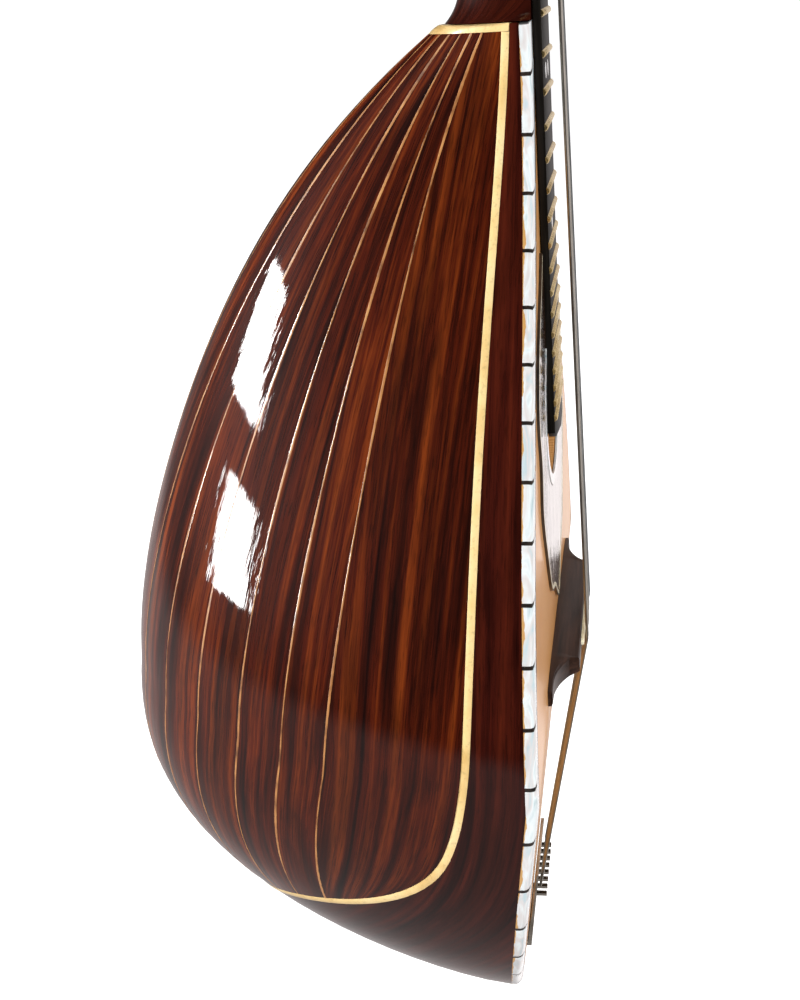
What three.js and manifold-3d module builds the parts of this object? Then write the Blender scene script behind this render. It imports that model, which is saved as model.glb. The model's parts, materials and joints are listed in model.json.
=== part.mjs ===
// A bowl-back mandolin, built as separate solids in millimetres.
// +Z runs up the neck, the soundboard faces -Y and the bass side is -X.
// The origin is on the back of the neck under the nut, where a wall hanger's yoke holds it.
import * as THREE from 'three';
import { mergeVertices } from 'three/addons/utils/BufferGeometryUtils.js';
import Module from 'manifold-3d';

const wasm = await Module();
wasm.setup();

// ---- Driving dimensions. "Down" is the distance below the nut, along the neck.
const GAP = 0.3; // kept between glued faces
const SCALE = 328; // nut to bridge saddle
const BOARD_Y = -13; // front plane of the neck and of the soundboard
const EDGE_DROP = 3.2; // bowl edge behind the soundboard's front plane
const BEND_DOWN = 336; // the soundboard bends back below this line
const BEND_SLOPE = Math.tan(THREE.MathUtils.degToRad(7));

const JOINT_DOWN = 145; // neck end of the bowl's curves
const BODY_LENGTH = 300;
const HALF_WIDTHS = [22, 16, 67, 121, 118, 120, 108]; // control values of one curve
const WIDTH_ROUNDING = 5.3;
const DEPTHS = [22, 94, 111, 133, 145, 168, 90]; // control values of one curve
const DEPTH_ROUNDING = 7.6;
const SIDE_POWER = 1.9; // how full the bowl's section is at its sides
const BACK_POWER = 1.35; // and at its back
const SHELL = 2.6; // thickness of ribs and bands

const FIRST_RIB_ANGLE = [31, 29, 40]; // control values, degrees from the bowl's edge
const RIB_WIDTHS = [6.4, 7.0, 7.9, 8.1, 8.2, 8.2]; // percent of the arc; the centre rib has the rest
const SIDE_BAND = [3.5, 7, 13, 11.5, 16.5]; // depth of the light line along the side
const TAIL_BAND = [16.5, 24.1, -8.5, 153.5, 31.3, 99.5, 102.8, 102.8]; // and around the tail
const TURN_DOWN = 336; // centre that the tail is measured around
const LINE_WIDTH = 2.2;
const STRIP_DOWN = [146.4, 148.5]; // the light strip at the heel
const EDGING_WIDTH = 5;

const BOARD_THICKNESS = 2.6;
const HOLE = { down: 256, halfWidth: 28, halfHeight: 22 };

const NUT_HALF_WIDTH = 14;
const SADDLE_HALF_WIDTH = 21.5; // of the fingerboard's taper, carried to the saddle
const FINGERBOARD_THICKNESS = 2.5;
const FINGERBOARD_END = { bass: 261, treble: 269 }; // it reaches over the sound hole
const HEEL_DOWN = 146; // where the neck meets the strip

const HEAD_TILT = THREE.MathUtils.degToRad(8);
const HEAD_THICKNESS = 13.5;
const POST_SPACING = 22;
const FIRST_POST_UP = 27;
const POST_ACROSS = 15;
const HOLE_RADIUS = 3.5;
const PLATE_THICKNESS = 1.2;
const GEAR_TEETH = 14;
const GEAR_PITCH_RADIUS = 5.2;
const WORM_PITCH_RADIUS = 2.6;
const WORM_DISTANCE = GEAR_PITCH_RADIUS + WORM_PITCH_RADIUS;
const WORM_LEAD = (2 * Math.PI * GEAR_PITCH_RADIUS) / GEAR_TEETH;
const PLATE_BACK = HEAD_THICKNESS + GAP + PLATE_THICKNESS;
const WORM_Y = PLATE_BACK + 4;

const STRING_RADII = { g: 0.45, d: 0.35, a: 0.25, e: 0.2 };
const SADDLE_TOP = 9.2; // above the soundboard
const NUT_TOP = 4.6; // above the neck's front plane

// ---- Colours, roughness and metalness
const LOOKS = {
  rosewood: { color: 0x4a170c, roughness: 0.18, metalness: 0 },
  dark_wood: { color: 0x2c0f0b, roughness: 0.2, metalness: 0 },
  light_line: { color: 0xe3cf94, roughness: 0.35, metalness: 0 },
  spruce: { color: 0xc88445, roughness: 0.25, metalness: 0 },
  inner_wood: { color: 0xb79467, roughness: 0.7, metalness: 0 },
  pearl: { color: 0xdfe3de, roughness: 0.15, metalness: 0 },
  tortoise: { color: 0x2a1710, roughness: 0.15, metalness: 0 },
  neck_wood: { color: 0x33120d, roughness: 0.2, metalness: 0 },
  ebony: { color: 0x0d0b0a, roughness: 0.35, metalness: 0 },
  bone: { color: 0xe8dcb8, roughness: 0.35, metalness: 0 },
  bridge_wood: { color: 0x35211a, roughness: 0.45, metalness: 0 },
  nickel: { color: 0xc9c4b4, roughness: 0.25, metalness: 1 },
  brass: { color: 0xb08d4a, roughness: 0.3, metalness: 1 },
  button: { color: 0xe9e0c8, roughness: 0.3, metalness: 0 },
  steel: { color: 0xb8bcbc, roughness: 0.25, metalness: 1 },
  bronze: { color: 0xb08a52, roughness: 0.35, metalness: 1 },
};

const mandolin = new THREE.Group();

// ---- Helpers for numbers, curves and solids
function bezier(values, share) {
  let row = values;
  while (row.length > 1) {
    row = row.slice(1).map((value, i) => row[i] + (value - row[i]) * share);
  }
  return row[0];
}

function bisect(isPast, low, high) {
  let [from, to] = [low, high];
  for (let i = 0; i < 40; i += 1) {
    const middle = (from + to) / 2;
    if (isPast(middle)) {
      to = middle;
    } else {
      from = middle;
    }
  }
  return (from + to) / 2;
}

function steps(count) {
  return Array.from({ length: count + 1 }, (_, i) => i / count);
}

function geometryOf(points, faces) {
  let volume = 0;
  for (const [a, b, c] of faces) {
    volume += points[a].dot(new THREE.Vector3().crossVectors(points[b], points[c]));
  }
  const outward = volume < 0 ? faces.map(([a, b, c]) => [a, c, b]) : faces;
  const geometry = new THREE.BufferGeometry();
  const places = points.flatMap((point) => point.toArray());
  geometry.setAttribute('position', new THREE.Float32BufferAttribute(places, 3));
  geometry.setIndex(outward.flat());
  geometry.computeVertexNormals();
  return geometry;
}

// A closed solid through a row of rings. Each ring lists one side, then the other side backwards.
function loft(rings) {
  const size = rings[0].length;
  const last = (rings.length - 1) * size;
  const faces = [];
  for (let r = 0; r < rings.length - 1; r += 1) {
    for (let i = 0; i < size; i += 1) {
      const [a, b] = [r * size + i, r * size + ((i + 1) % size)];
      faces.push([a, b, b + size], [a, b + size, a + size]);
    }
  }
  for (let i = 0; i + 1 < size - 1 - i; i += 1) {
    const [j, opposite] = [i + 1, size - 1 - i];
    faces.push([j, i, opposite], [last + i, last + j, last + opposite]);
    if (j < opposite - 1) {
      faces.push([j, opposite, opposite - 1], [last + j, last + opposite - 1, last + opposite]);
    }
  }
  return geometryOf(rings.flat(), faces);
}

function toSolid(geometry) {
  const bare = geometry.clone();
  bare.deleteAttribute('normal');
  bare.deleteAttribute('uv');
  const merged = mergeVertices(bare, 1e-4);
  return new wasm.Manifold(new wasm.Mesh({
    numProp: 3,
    vertProperties: new Float32Array(merged.attributes.position.array),
    triVerts: new Uint32Array(merged.index.array),
  }));
}

function toGeometry(solid) {
  const mesh = solid.getMesh();
  const geometry = new THREE.BufferGeometry();
  geometry.setAttribute('position', new THREE.BufferAttribute(mesh.vertProperties, 3));
  geometry.setIndex(new THREE.BufferAttribute(mesh.triVerts, 1));
  geometry.computeVertexNormals();
  return geometry;
}

function join(...geometries) {
  return toGeometry(geometries.map(toSolid).reduce((sum, solid) => sum.add(solid)));
}

function cut(geometry, ...tools) {
  return toGeometry(tools.map(toSolid).reduce((rest, tool) => rest.subtract(tool), toSolid(geometry)));
}

function add(name, look, geometry, parent = mandolin) {
  const mesh = new THREE.Mesh(geometry, new THREE.MeshStandardMaterial(LOOKS[look]));
  mesh.name = name;
  parent.add(mesh);
  return mesh;
}

function box(x0, x1, y0, y1, z0, z1) {
  const geometry = new THREE.BoxGeometry(x1 - x0, y1 - y0, z1 - z0);
  return geometry.translate((x0 + x1) / 2, (y0 + y1) / 2, (z0 + z1) / 2);
}

// The same solid on the other side of the neck's middle plane.
function acrossMiddle(geometry) {
  const position = geometry.attributes.position;
  const index = Array.from(geometry.index.array);
  const pointAt = (_, i) => flip(new THREE.Vector3().fromBufferAttribute(position, i));
  const points = Array.from({ length: position.count }, pointAt);
  const faces = Array.from({ length: index.length / 3 }, (_, i) => index.slice(3 * i, 3 * i + 3));
  return geometryOf(points, faces);
}

// A flat shape drawn in X and Z, made solid from y0 to y1.
function slab(shape, y0, y1, curveSegments = 6) {
  const geometry = new THREE.ExtrudeGeometry(shape, { depth: y1 - y0, bevelEnabled: false, curveSegments });
  return geometry.rotateX(Math.PI / 2).translate(0, y1, 0);
}

function mirrored(points) {
  return points.map(([x, z]) => [-x, z]).reverse();
}

function shapeOf(points) {
  return new THREE.Shape(points.map(([x, z]) => new THREE.Vector2(x, z)));
}

// ---- The bowl's surface: every section across the neck's line is one rounded arch
const edgeY = (down) => BOARD_Y + EDGE_DROP + Math.max(0, down - BEND_DOWN) * BEND_SLOPE;
const boardY = (down) => edgeY(down) - EDGE_DROP;
const shareAt = (down) => (down - JOINT_DOWN) / BODY_LENGTH;
const downAt = (share) => JOINT_DOWN + share * BODY_LENGTH;
const rounded = (share, power) => Math.sqrt(Math.max(1e-9, 1 - Math.max(0, share) ** power));
const halfWidth = (share) => bezier(HALF_WIDTHS, share) * rounded(share, WIDTH_ROUNDING);
const bowlDepth = (share) => bezier(DEPTHS, share) * rounded(share, DEPTH_ROUNDING);

function bowlPoint(share, angle) {
  const across = Math.cos(angle);
  const x = -halfWidth(share) * Math.sign(across) * Math.abs(across) ** (2 / SIDE_POWER);
  const y = edgeY(downAt(share)) + bowlDepth(share) * Math.sin(angle) ** (2 / BACK_POWER);
  return new THREE.Vector3(x, y, -downAt(share));
}

function bowlLevel(x, y, down) {
  const share = Math.min(1, shareAt(down));
  const behind = Math.max(0, y - edgeY(down));
  return (Math.abs(x) / halfWidth(share)) ** SIDE_POWER + (behind / bowlDepth(share)) ** BACK_POWER;
}

function bowlNormal({ x, y, z }) {
  const d = 0.01;
  const slope = (dx, dy, dz) => bowlLevel(x + dx, y + dy, -z - dz) - bowlLevel(x - dx, y - dy, -z + dz);
  return new THREE.Vector3(slope(d, 0, 0), slope(0, d, 0), slope(0, 0, d)).normalize();
}

const inside = (point, depth) => point.clone().addScaledVector(bowlNormal(point), -depth);

// A point on the bowl below TURN_DOWN, on a ray at this turn (0 at the side, 90 degrees at the tail).
function tailPoint(turn, depth) {
  const at = (radius) => [-Math.cos(turn) * radius, TURN_DOWN + Math.sin(turn) * radius];
  const radius = bisect((r) => {
    const [x, down] = at(r);
    return shareAt(down) >= 1 || bowlLevel(x, edgeY(down) + depth, down) > 1;
  }, 5, 140);
  const [x, down] = at(radius);
  return new THREE.Vector3(x, edgeY(down) + depth, -down);
}

function sidePoint(down, depth) {
  const share = shareAt(down);
  const fullness = 1 - (depth / bowlDepth(share)) ** BACK_POWER;
  return new THREE.Vector3(-halfWidth(share) * fullness ** (1 / SIDE_POWER), edgeY(down) + depth, -down);
}

// One way round the rim: 0 at the heel, 0.5 where the tail begins to turn, 1 at the tail's centre.
function rimPlace(place, from = STRIP_DOWN[0]) {
  if (place <= 0.5) {
    return { down: from + (TURN_DOWN - from) * place * 2 };
  }
  return { turn: Math.PI * (place - 0.5) };
}

function bandDepth({ down, turn }) {
  if (turn === undefined) {
    return bezier(SIDE_BAND, (down - STRIP_DOWN[0]) / (TURN_DOWN - STRIP_DOWN[0]));
  }
  return bezier(TAIL_BAND, turn / (Math.PI / 2));
}

function bandPoint(where, depth) {
  return where.turn === undefined ? sidePoint(where.down, depth) : tailPoint(where.turn, depth);
}

// The light line's centre, moved sideways over the bowl: towards the ribs when shift is positive.
function linePoint(place, shift, from) {
  const at = (p) => {
    const where = rimPlace(Math.min(1, Math.max(0, p)), from);
    return bandPoint(where, bandDepth(where));
  };
  const point = at(place);
  const along = at(place + 0.004).sub(at(place - 0.004)).normalize();
  if (place > 0.996) {
    along.set(1, 0, 0);
  }
  const sideways = new THREE.Vector3().crossVectors(along, bowlNormal(point)).normalize();
  if (sideways.y < 0) {
    sideways.negate();
  }
  return point.addScaledVector(sideways, shift);
}

const flip = (point) => new THREE.Vector3(-point.x, point.y, point.z);

// Rings for half of a U-shaped strip, carried on round the other side.
function aroundTail(halfRings) {
  return halfRings.concat(halfRings.slice(0, -1).reverse().map((ring) => ring.map(flip)));
}

function whereOf(point) {
  const down = -point.z;
  const turn = Math.atan2(down - TURN_DOWN, Math.abs(point.x));
  return turn > 0 ? { turn } : { down };
}

// ---- Ribs: equal shares of the arch, edge to edge
function ribShares() {
  const half = RIB_WIDTHS.slice();
  const centre = 100 - 2 * half.reduce((sum, width) => sum + width, 0);
  const widths = [...half, centre, ...half.slice().reverse()];
  const edges = [0];
  for (const width of widths) {
    edges.push(edges[edges.length - 1] + width / 100);
  }
  return edges;
}

const RIB_EDGES = ribShares();

function ribAngle(edge, share) {
  const first = THREE.MathUtils.degToRad(bezier(FIRST_RIB_ANGLE, share));
  const angles = steps(40).map((s) => first + (Math.PI - 2 * first) * s);
  const points = angles.map((angle) => bowlPoint(share, angle));
  const lengths = [0];
  for (let i = 1; i < points.length; i += 1) {
    lengths.push(lengths[i - 1] + points[i].distanceTo(points[i - 1]));
  }
  const wanted = RIB_EDGES[edge] * lengths[lengths.length - 1];
  const i = Math.max(1, lengths.findIndex((length) => length >= wanted - 1e-9));
  const between = (wanted - lengths[i - 1]) / (lengths[i] - lengths[i - 1]);
  return angles[i - 1] + (angles[i] - angles[i - 1]) * between;
}

const RIB_START = shareAt(STRIP_DOWN[1] + GAP);
const RIB_CROWDING = 1.3; // sections lie closer together near the heel

// Where a rib's edge reaches the light line around the tail.
function ribEnd(edge) {
  const crossing = bisect((share) => {
    const point = bowlPoint(share, ribAngle(edge, share));
    return bandDepth(whereOf(point)) > point.y - edgeY(-point.z);
  }, 0.5, 0.97);
  return crossing - 2 / BODY_LENGTH;
}

function shellRing(outer) {
  return [...outer, ...outer.map((point) => inside(point, SHELL)).reverse()];
}

// A point on a rib's edge, set back from its neighbour towards the other given point.
function setBack(edge, share, towards) {
  const at = (place) => bowlPoint(place, ribAngle(edge, place));
  const point = at(share);
  const along = at(share + 0.004).sub(at(share - 0.004)).normalize();
  const inward = towards.clone().sub(point);
  inward.addScaledVector(along, -inward.dot(along));
  return point.addScaledVector(inward.normalize(), GAP / 2);
}

function narrowRib(number) {
  const edges = [number, number + 1];
  const ends = edges.map(ribEnd);
  const rings = steps(17).map((s) => {
    const shares = ends.map((end) => RIB_START + (end - RIB_START) * s ** RIB_CROWDING);
    const corners = edges.map((edge, side) => bowlPoint(shares[side], ribAngle(edge, shares[side])));
    return shellRing(edges.map((edge, side) => setBack(edge, shares[side], corners[1 - side])));
  });
  return loft(rings);
}

// The wide first rib lies between the light line and the first rib edge.
function wideRib() {
  const cornerPlace = 0.62;
  const endShare = ribEnd(0);
  const clearance = LINE_WIDTH / 2 + 1.1;
  const endDepth = bowlPoint(endShare, ribAngle(0, endShare)).y - edgeY(downAt(endShare));
  const linePlaceAtEnd = bisect((place) => {
    const point = linePoint(place, clearance, STRIP_DOWN[1]);
    return point.y - edgeY(-point.z) > endDepth;
  }, cornerPlace, 0.95);
  const onSurface = (point) => {
    const share = shareAt(-point.z);
    const behind = Math.max(0, point.y - edgeY(-point.z)) / bowlDepth(share);
    return [share, Math.asin(Math.min(1, behind) ** (BACK_POWER / 2))];
  };
  const line = (place) => onSurface(linePoint(place, clearance, STRIP_DOWN[1] + GAP));
  const edge = (s) => {
    const share = RIB_START + (endShare - RIB_START) * s;
    return [share, ribAngle(0, share)];
  };
  const [low, high, lowEnd, highEnd] = [line(0), edge(0), line(cornerPlace), edge(1)];
  const rings = steps(16).map((s) => {
    const outer = steps(4).map((r) => {
      const endPlace = cornerPlace + (linePlaceAtEnd - cornerPlace) * r;
      const [a, b] = [line(cornerPlace * s), edge(s)];
      const c = [0, 1].map((k) => low[k] + (high[k] - low[k]) * r);
      const d = r === 1 ? highEnd : line(endPlace);
      const atStart = (k) => (1 - r) * low[k] + r * high[k];
      const atEnd = (k) => (1 - r) * lowEnd[k] + r * highEnd[k];
      const corners = (k) => (1 - s) * atStart(k) + s * atEnd(k);
      const blend = (k) => (1 - r) * a[k] + r * b[k] + (1 - s) * c[k] + s * d[k] - corners(k);
      const [share, angle] = [0, 1].map(blend);
      return bowlPoint(share, angle);
    });
    outer[4] = setBack(0, edge(s)[0], outer[3]);
    return shellRing(outer);
  });
  return loft(rings);
}

const RIM_STATIONS = steps(20);

function rimBand() {
  const half = RIM_STATIONS.map((place) => {
    const top = linePoint(place, -LINE_WIDTH / 2 - GAP);
    const where = whereOf(top);
    const behind = top.y - edgeY(-top.z);
    const outer = steps(3).map((s) => (s === 1 ? top : bandPoint(where, behind * s)));
    const ring = shellRing(outer);
    const innerEdge = ring[ring.length - 1];
    innerEdge.y = edgeY(-innerEdge.z);
    return ring;
  });
  return loft(aroundTail(half));
}

function lightLine() {
  const half = RIM_STATIONS.map((place) => {
    const outer = [-1, 1].map((side) => linePoint(place, (side * LINE_WIDTH) / 2, STRIP_DOWN[1] + GAP));
    return shellRing(outer);
  });
  return loft(aroundTail(half));
}

function heelStrip() {
  const shares = STRIP_DOWN.map(shareAt);
  const first = linePoint(0, -LINE_WIDTH / 2);
  const start = Math.asin(((first.y - edgeY(-first.z)) / bowlDepth(shares[0])) ** (BACK_POWER / 2));
  const rings = steps(12).map((s) => {
    const angle = start + (Math.PI - 2 * start) * s;
    return shellRing(shares.map((share) => bowlPoint(share, angle)));
  });
  return loft(rings);
}

// ---- Inside the bowl
function boardBack(down) {
  return boardY(down) + BOARD_THICKNESS + GAP;
}

function neckBlock() {
  const rings = [150, 158, 170].map((down) => {
    const back = steps(8).map((s) => {
      const point = bowlPoint(shareAt(down), Math.PI * (0.06 + 0.88 * s));
      return inside(point, SHELL + GAP + 0.4);
    });
    return back.map((point) => new THREE.Vector3(point.x, Math.max(point.y, boardBack(down)), point.z));
  });
  return loft(rings);
}

function tailBlock() {
  const rings = [-26, -17, -8, 0, 8, 17, 26].map((x) => {
    const wall = [3, 12, 24].map((behind) => {
      const down = bisect((d) => shareAt(d) >= 1 || bowlLevel(x, edgeY(d) + behind, d) > 1, TURN_DOWN, 445);
      return inside(new THREE.Vector3(x, edgeY(down) + behind, -down), SHELL + 1.3);
    });
    const front = new THREE.Vector3(x, wall[2].y, wall[2].z + 16);
    const board = new THREE.Vector3(x, boardBack(-wall[2].z - 16), wall[2].z + 16);
    return [board, wall[0], wall[1], wall[2], front];
  });
  return cut(loft(rings), liningRoom());
}

function brace(down) {
  const reach = halfWidth(shareAt(down)) - 10;
  const [front, back] = [boardBack(down), boardBack(down) + 9];
  const profile = new THREE.Shape();
  profile.moveTo(-reach, front);
  profile.lineTo(reach, front);
  profile.lineTo(reach, front + 2.5);
  profile.quadraticCurveTo(reach - 14, front + 3, reach - 24, back);
  profile.lineTo(-reach + 24, back);
  profile.quadraticCurveTo(-reach + 14, front + 3, -reach, front + 2.5);
  const geometry = new THREE.ExtrudeGeometry(profile, { depth: 6, bevelEnabled: false, curveSegments: 3 });
  return geometry.translate(0, 0, -down - 3);
}

// Places along the rim's outline, with the direction towards the middle of the body.
function rimPlan(place) {
  const at = (p) => bandPoint(rimPlace(Math.min(1, Math.max(0, p))), 0);
  const point = at(place);
  const along = at(place + 0.004).sub(at(place - 0.004)).normalize();
  if (place > 0.996) {
    along.set(1, 0, 0);
  }
  const inward = new THREE.Vector3(-along.z, 0, along.x);
  return { point, inward: inward.x < -0.01 ? inward.negate() : inward };
}

function rimStrip(places, section) {
  const half = places.map((place) => {
    const { point, inward } = rimPlan(place);
    return section.map(([across, behind]) => {
      const corner = point.clone().addScaledVector(inward, across);
      corner.y = edgeY(-corner.z) + behind;
      return corner;
    });
  });
  return loft(aroundTail(half));
}

const EDGING_START = 0.008;
const SIDE_PLACES = steps(8).map((s) => EDGING_START + s * (0.5 - EDGING_START));
const RIM_PLACES = [...SIDE_PLACES, ...steps(9).slice(1).map((s) => 0.5 + s * 0.5)];

function pearlEdging() {
  const front = -EDGE_DROP;
  const section = [[0, -GAP], [0, -1.4], [1.4, front + 0.3], [EDGING_WIDTH, front], [EDGING_WIDTH, -GAP]];
  return rimStrip(RIM_PLACES, section);
}

const LINING_PLACES = [0.15, ...RIM_PLACES.filter((place) => place > 0.16)];
const LINING = { outer: SHELL + GAP + 0.3, width: 3.5, slope: 1.4, front: GAP, step: 4, back: 6.5 };

function lining() {
  const { outer, width, slope, front, step, back } = LINING;
  const inner = outer + width;
  return rimStrip(LINING_PLACES, [[outer, front], [inner, front], [inner, step], [outer + slope, back]]);
}

// A wider strip that makes room for the lining in the block it crosses.
function liningRoom() {
  const { outer, width, front, back } = LINING;
  const [near, far] = [outer - 3, outer + width + GAP];
  const [low, high] = [front - 3, back + GAP];
  return rimStrip(LINING_PLACES, [[near, low], [far, low], [far, high], [near, high]]);
}

// ---- Soundboard and what lies on it
function holeShape(grow) {
  const [wide, high] = [HOLE.halfWidth + grow, HOLE.halfHeight + grow];
  return new THREE.Shape().absellipse(0, -HOLE.down, wide, high, 0, 2 * Math.PI);
}

const faceTool = (shape, segments) => slab(shape, BOARD_Y - 3, BOARD_Y + 6, segments);

function soundboard() {
  const clearance = EDGING_WIDTH + GAP;
  const outline = RIM_PLACES.map((place) => {
    const { point, inward } = rimPlan(place);
    return point.addScaledVector(inward, clearance);
  }).filter((point) => point.x < -2);
  const bend = outline.findIndex((point) => -point.z > BEND_DOWN);
  const [before, after] = [outline[bend - 1], outline[bend]];
  outline.splice(bend, 0, before.clone().lerp(after, (before.z + BEND_DOWN) / (before.z - after.z)));
  const rings = outline.map(({ x, z }) => {
    const [front, back] = [boardY(-z), boardY(-z) + BOARD_THICKNESS];
    return [[x, front], [x, back], [-x, back], [-x, front]].map(([px, py]) => new THREE.Vector3(px, py, z));
  });
  return cut(loft(rings), faceTool(holeShape(0), 14));
}

function holeRing() {
  const ring = slab(holeShape(4), BOARD_Y - GAP - 0.6, BOARD_Y - GAP, 14);
  return cut(ring, faceTool(holeShape(0.6), 14), faceTool(fingerboardShape(GAP), 2));
}

// The guard plate: a shield round the hole, from the fingerboard's sides to a point near the bridge.
function pickguard() {
  const side = [[22, -208], [30, -216], [41, -224], [50, -233], [55, -242], [55.5, -249], [52, -260],
    [54, -271], [51, -279], [44.5, -288], [37.5, -298], [30, -306], [17, -311], [7, -318]];
  const outline = shapeOf([...side, [0, -321], ...mirrored(side)]);
  const plate = slab(outline, BOARD_Y - GAP - 0.6, BOARD_Y - GAP);
  return cut(plate, faceTool(holeShape(4 + GAP), 14), faceTool(fingerboardShape(GAP), 2));
}

function bridge() {
  const foot = 57;
  const block = 36;
  const front = (height) => BOARD_Y - GAP - height;
  const profile = new THREE.Shape();
  profile.moveTo(-foot, front(0));
  profile.lineTo(-foot, front(1));
  profile.quadraticCurveTo(-block - 9, front(2), -block, front(6.5));
  profile.lineTo(-block, front(8));
  profile.lineTo(block, front(8));
  profile.lineTo(block, front(6.5));
  profile.quadraticCurveTo(block + 9, front(2), foot, front(1));
  profile.lineTo(foot, front(0));
  const geometry = new THREE.ExtrudeGeometry(profile, { depth: 7, bevelEnabled: false, curveSegments: 5 });
  const body = geometry.translate(0, 0, -SCALE - 4);
  const slot = box(-22.6, 22.6, front(9), front(6), -SCALE - 0.9 - GAP, -SCALE + 0.9 + GAP);
  return cut(body, slot);
}

function saddle() {
  const [front, back] = [BOARD_Y - SADDLE_TOP, BOARD_Y - GAP - 6 - GAP];
  return box(-22.3, 22.3, front, back, -SCALE - 0.9, -SCALE + 0.9);
}

// ---- Neck, fingerboard and head
const fingerHalfWidth = (down) => NUT_HALF_WIDTH + (SADDLE_HALF_WIDTH - NUT_HALF_WIDTH) * (down / SCALE);

function neckRing(down) {
  const flare = Math.max(0, (down - 134) / (HEEL_DOWN - 134)) ** 3;
  const wide = fingerHalfWidth(down) + flare * (22 - fingerHalfWidth(HEEL_DOWN));
  const depth = 13 + 8.5 * (Math.max(0, down) / HEEL_DOWN) ** 1.4 + flare * 3.7;
  return steps(12).map((s) => {
    const angle = Math.PI * s;
    const across = Math.cos(angle);
    const x = -wide * Math.sign(across) * Math.abs(across) ** 0.85;
    return new THREE.Vector3(x, BOARD_Y + depth * Math.sin(angle) ** 0.9, -down);
  });
}

const HEAD_OUTLINE = [[14.5, 0], [15.5, 5], [21, 10], [29, 15], [30, 24], [28.5, 50], [29.5, 80], [31, 98],
  [27, 103], [25.5, 109], [21, 114], [17, 113], [13, 118], [7, 125]];

function headShape(inset) {
  const side = HEAD_OUTLINE.map(([x, z]) => [x - inset, z + (z === 0 ? 5 * inset : 0)]);
  return shapeOf([...side, [0, 128 - inset], ...mirrored(side)]);
}

const postPlaces = [-1, 1].flatMap((side) => steps(3).map((s) => ({
  side,
  x: side * POST_ACROSS,
  z: FIRST_POST_UP + s * 3 * POST_SPACING,
})));

function drill(x, z, radius, y0, y1) {
  const geometry = new THREE.CylinderGeometry(radius, radius, y1 - y0, 10);
  return geometry.translate(x, (y0 + y1) / 2, z);
}

const postDrills = (y0, y1) => postPlaces.map(({ x, z }) => drill(x, z, HOLE_RADIUS, y0, y1));

function inHeadFrame(geometry) {
  return geometry.rotateX(-HEAD_TILT).translate(0, BOARD_Y, 2.4);
}

function neck() {
  const downs = [-5, 20, 60, 100, 125, 134, 138, 141, 143.5, HEEL_DOWN];
  const shaft = loft(downs.map(neckRing));
  const head = cut(slab(headShape(0), 0, HEAD_THICKNESS), ...postDrills(-2, HEAD_THICKNESS + 2));
  return join(shaft, inHeadFrame(head));
}

function headVeneer() {
  const sheet = slab(headShape(0.01), -GAP - 1, -GAP);
  const nutRoom = box(-20, 20, -3, 2, -2, 4);
  return inHeadFrame(cut(sheet, ...postDrills(-3, 2), nutRoom));
}

function fingerboardShape(grow) {
  const start = -3 + grow;
  const { bass, treble } = FINGERBOARD_END;
  const half = (down) => fingerHalfWidth(down) + grow;
  return shapeOf([[-half(3), start], [-half(bass), -bass - grow], [-half(bass) + 6, -bass - 3 - grow],
    [half(treble) - 8, -treble - grow], [half(treble), -treble + 2], [half(3), start]]);
}

const fingerboard = () => slab(fingerboardShape(0), BOARD_Y - FINGERBOARD_THICKNESS, BOARD_Y - GAP);

function nut() {
  return box(-14.2, 14.2, BOARD_Y - NUT_TOP, BOARD_Y - GAP, -2.6, 2.2);
}

// ---- Tuning machines
function tunerPlate(side) {
  const plateShape = new THREE.Shape();
  const [low, high, inner, outer] = [FIRST_POST_UP - 15, FIRST_POST_UP + 3 * POST_SPACING + 9, 7, 24];
  plateShape.moveTo(inner, low + 3);
  plateShape.quadraticCurveTo(inner, low, inner + 3, low);
  plateShape.lineTo(outer - 3, low);
  plateShape.quadraticCurveTo(outer, low, outer, low + 3);
  plateShape.lineTo(outer, high - 3);
  plateShape.quadraticCurveTo(outer, high, outer - 3, high);
  plateShape.lineTo(inner + 3, high);
  plateShape.quadraticCurveTo(inner, high, inner, high - 3);
  const ears = [];
  const drills = [];
  for (const { x, z } of postPlaces.filter((place) => place.side === 1)) {
    for (const earX of [x - 6.4, x + 4.8]) {
      const ear = new THREE.Shape().absarc(0, 0, 2.6, 0, Math.PI, false);
      ear.lineTo(-2.6, PLATE_BACK - 0.4 - WORM_Y);
      ear.lineTo(2.6, PLATE_BACK - 0.4 - WORM_Y);
      ear.holes.push(new THREE.Path().absarc(0, 0, 1.65, 0, 2 * Math.PI, true));
      const solid = new THREE.ExtrudeGeometry(ear, { depth: 1.6, bevelEnabled: false, curveSegments: 4 });
      solid.rotateY(Math.PI / 2);
      ears.push(solid.translate(earX, WORM_Y, z - WORM_DISTANCE));
    }
    drills.push(drill(x, z, HOLE_RADIUS, PLATE_BACK - 3, PLATE_BACK + 1));
  }
  const plate = cut(slab(plateShape, HEAD_THICKNESS + GAP, PLATE_BACK, 2), ...drills);
  const whole = join(plate, ...ears);
  return inHeadFrame(side === 1 ? whole : acrossMiddle(whole));
}

function gearOutline() {
  const points = [];
  for (let tooth = 0; tooth < GEAR_TEETH; tooth += 1) {
    const middle = ((tooth + 0.5) / GEAR_TEETH) * 2 * Math.PI - Math.PI / 2;
    for (const [radius, halfAngle] of [[4.3, -9.5], [5.8, -2.6], [5.8, 2.6], [4.3, 9.5]]) {
      const angle = middle + THREE.MathUtils.degToRad(halfAngle);
      points.push([radius * Math.cos(angle), radius * Math.sin(angle)]);
    }
  }
  return shapeOf(points);
}

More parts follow.
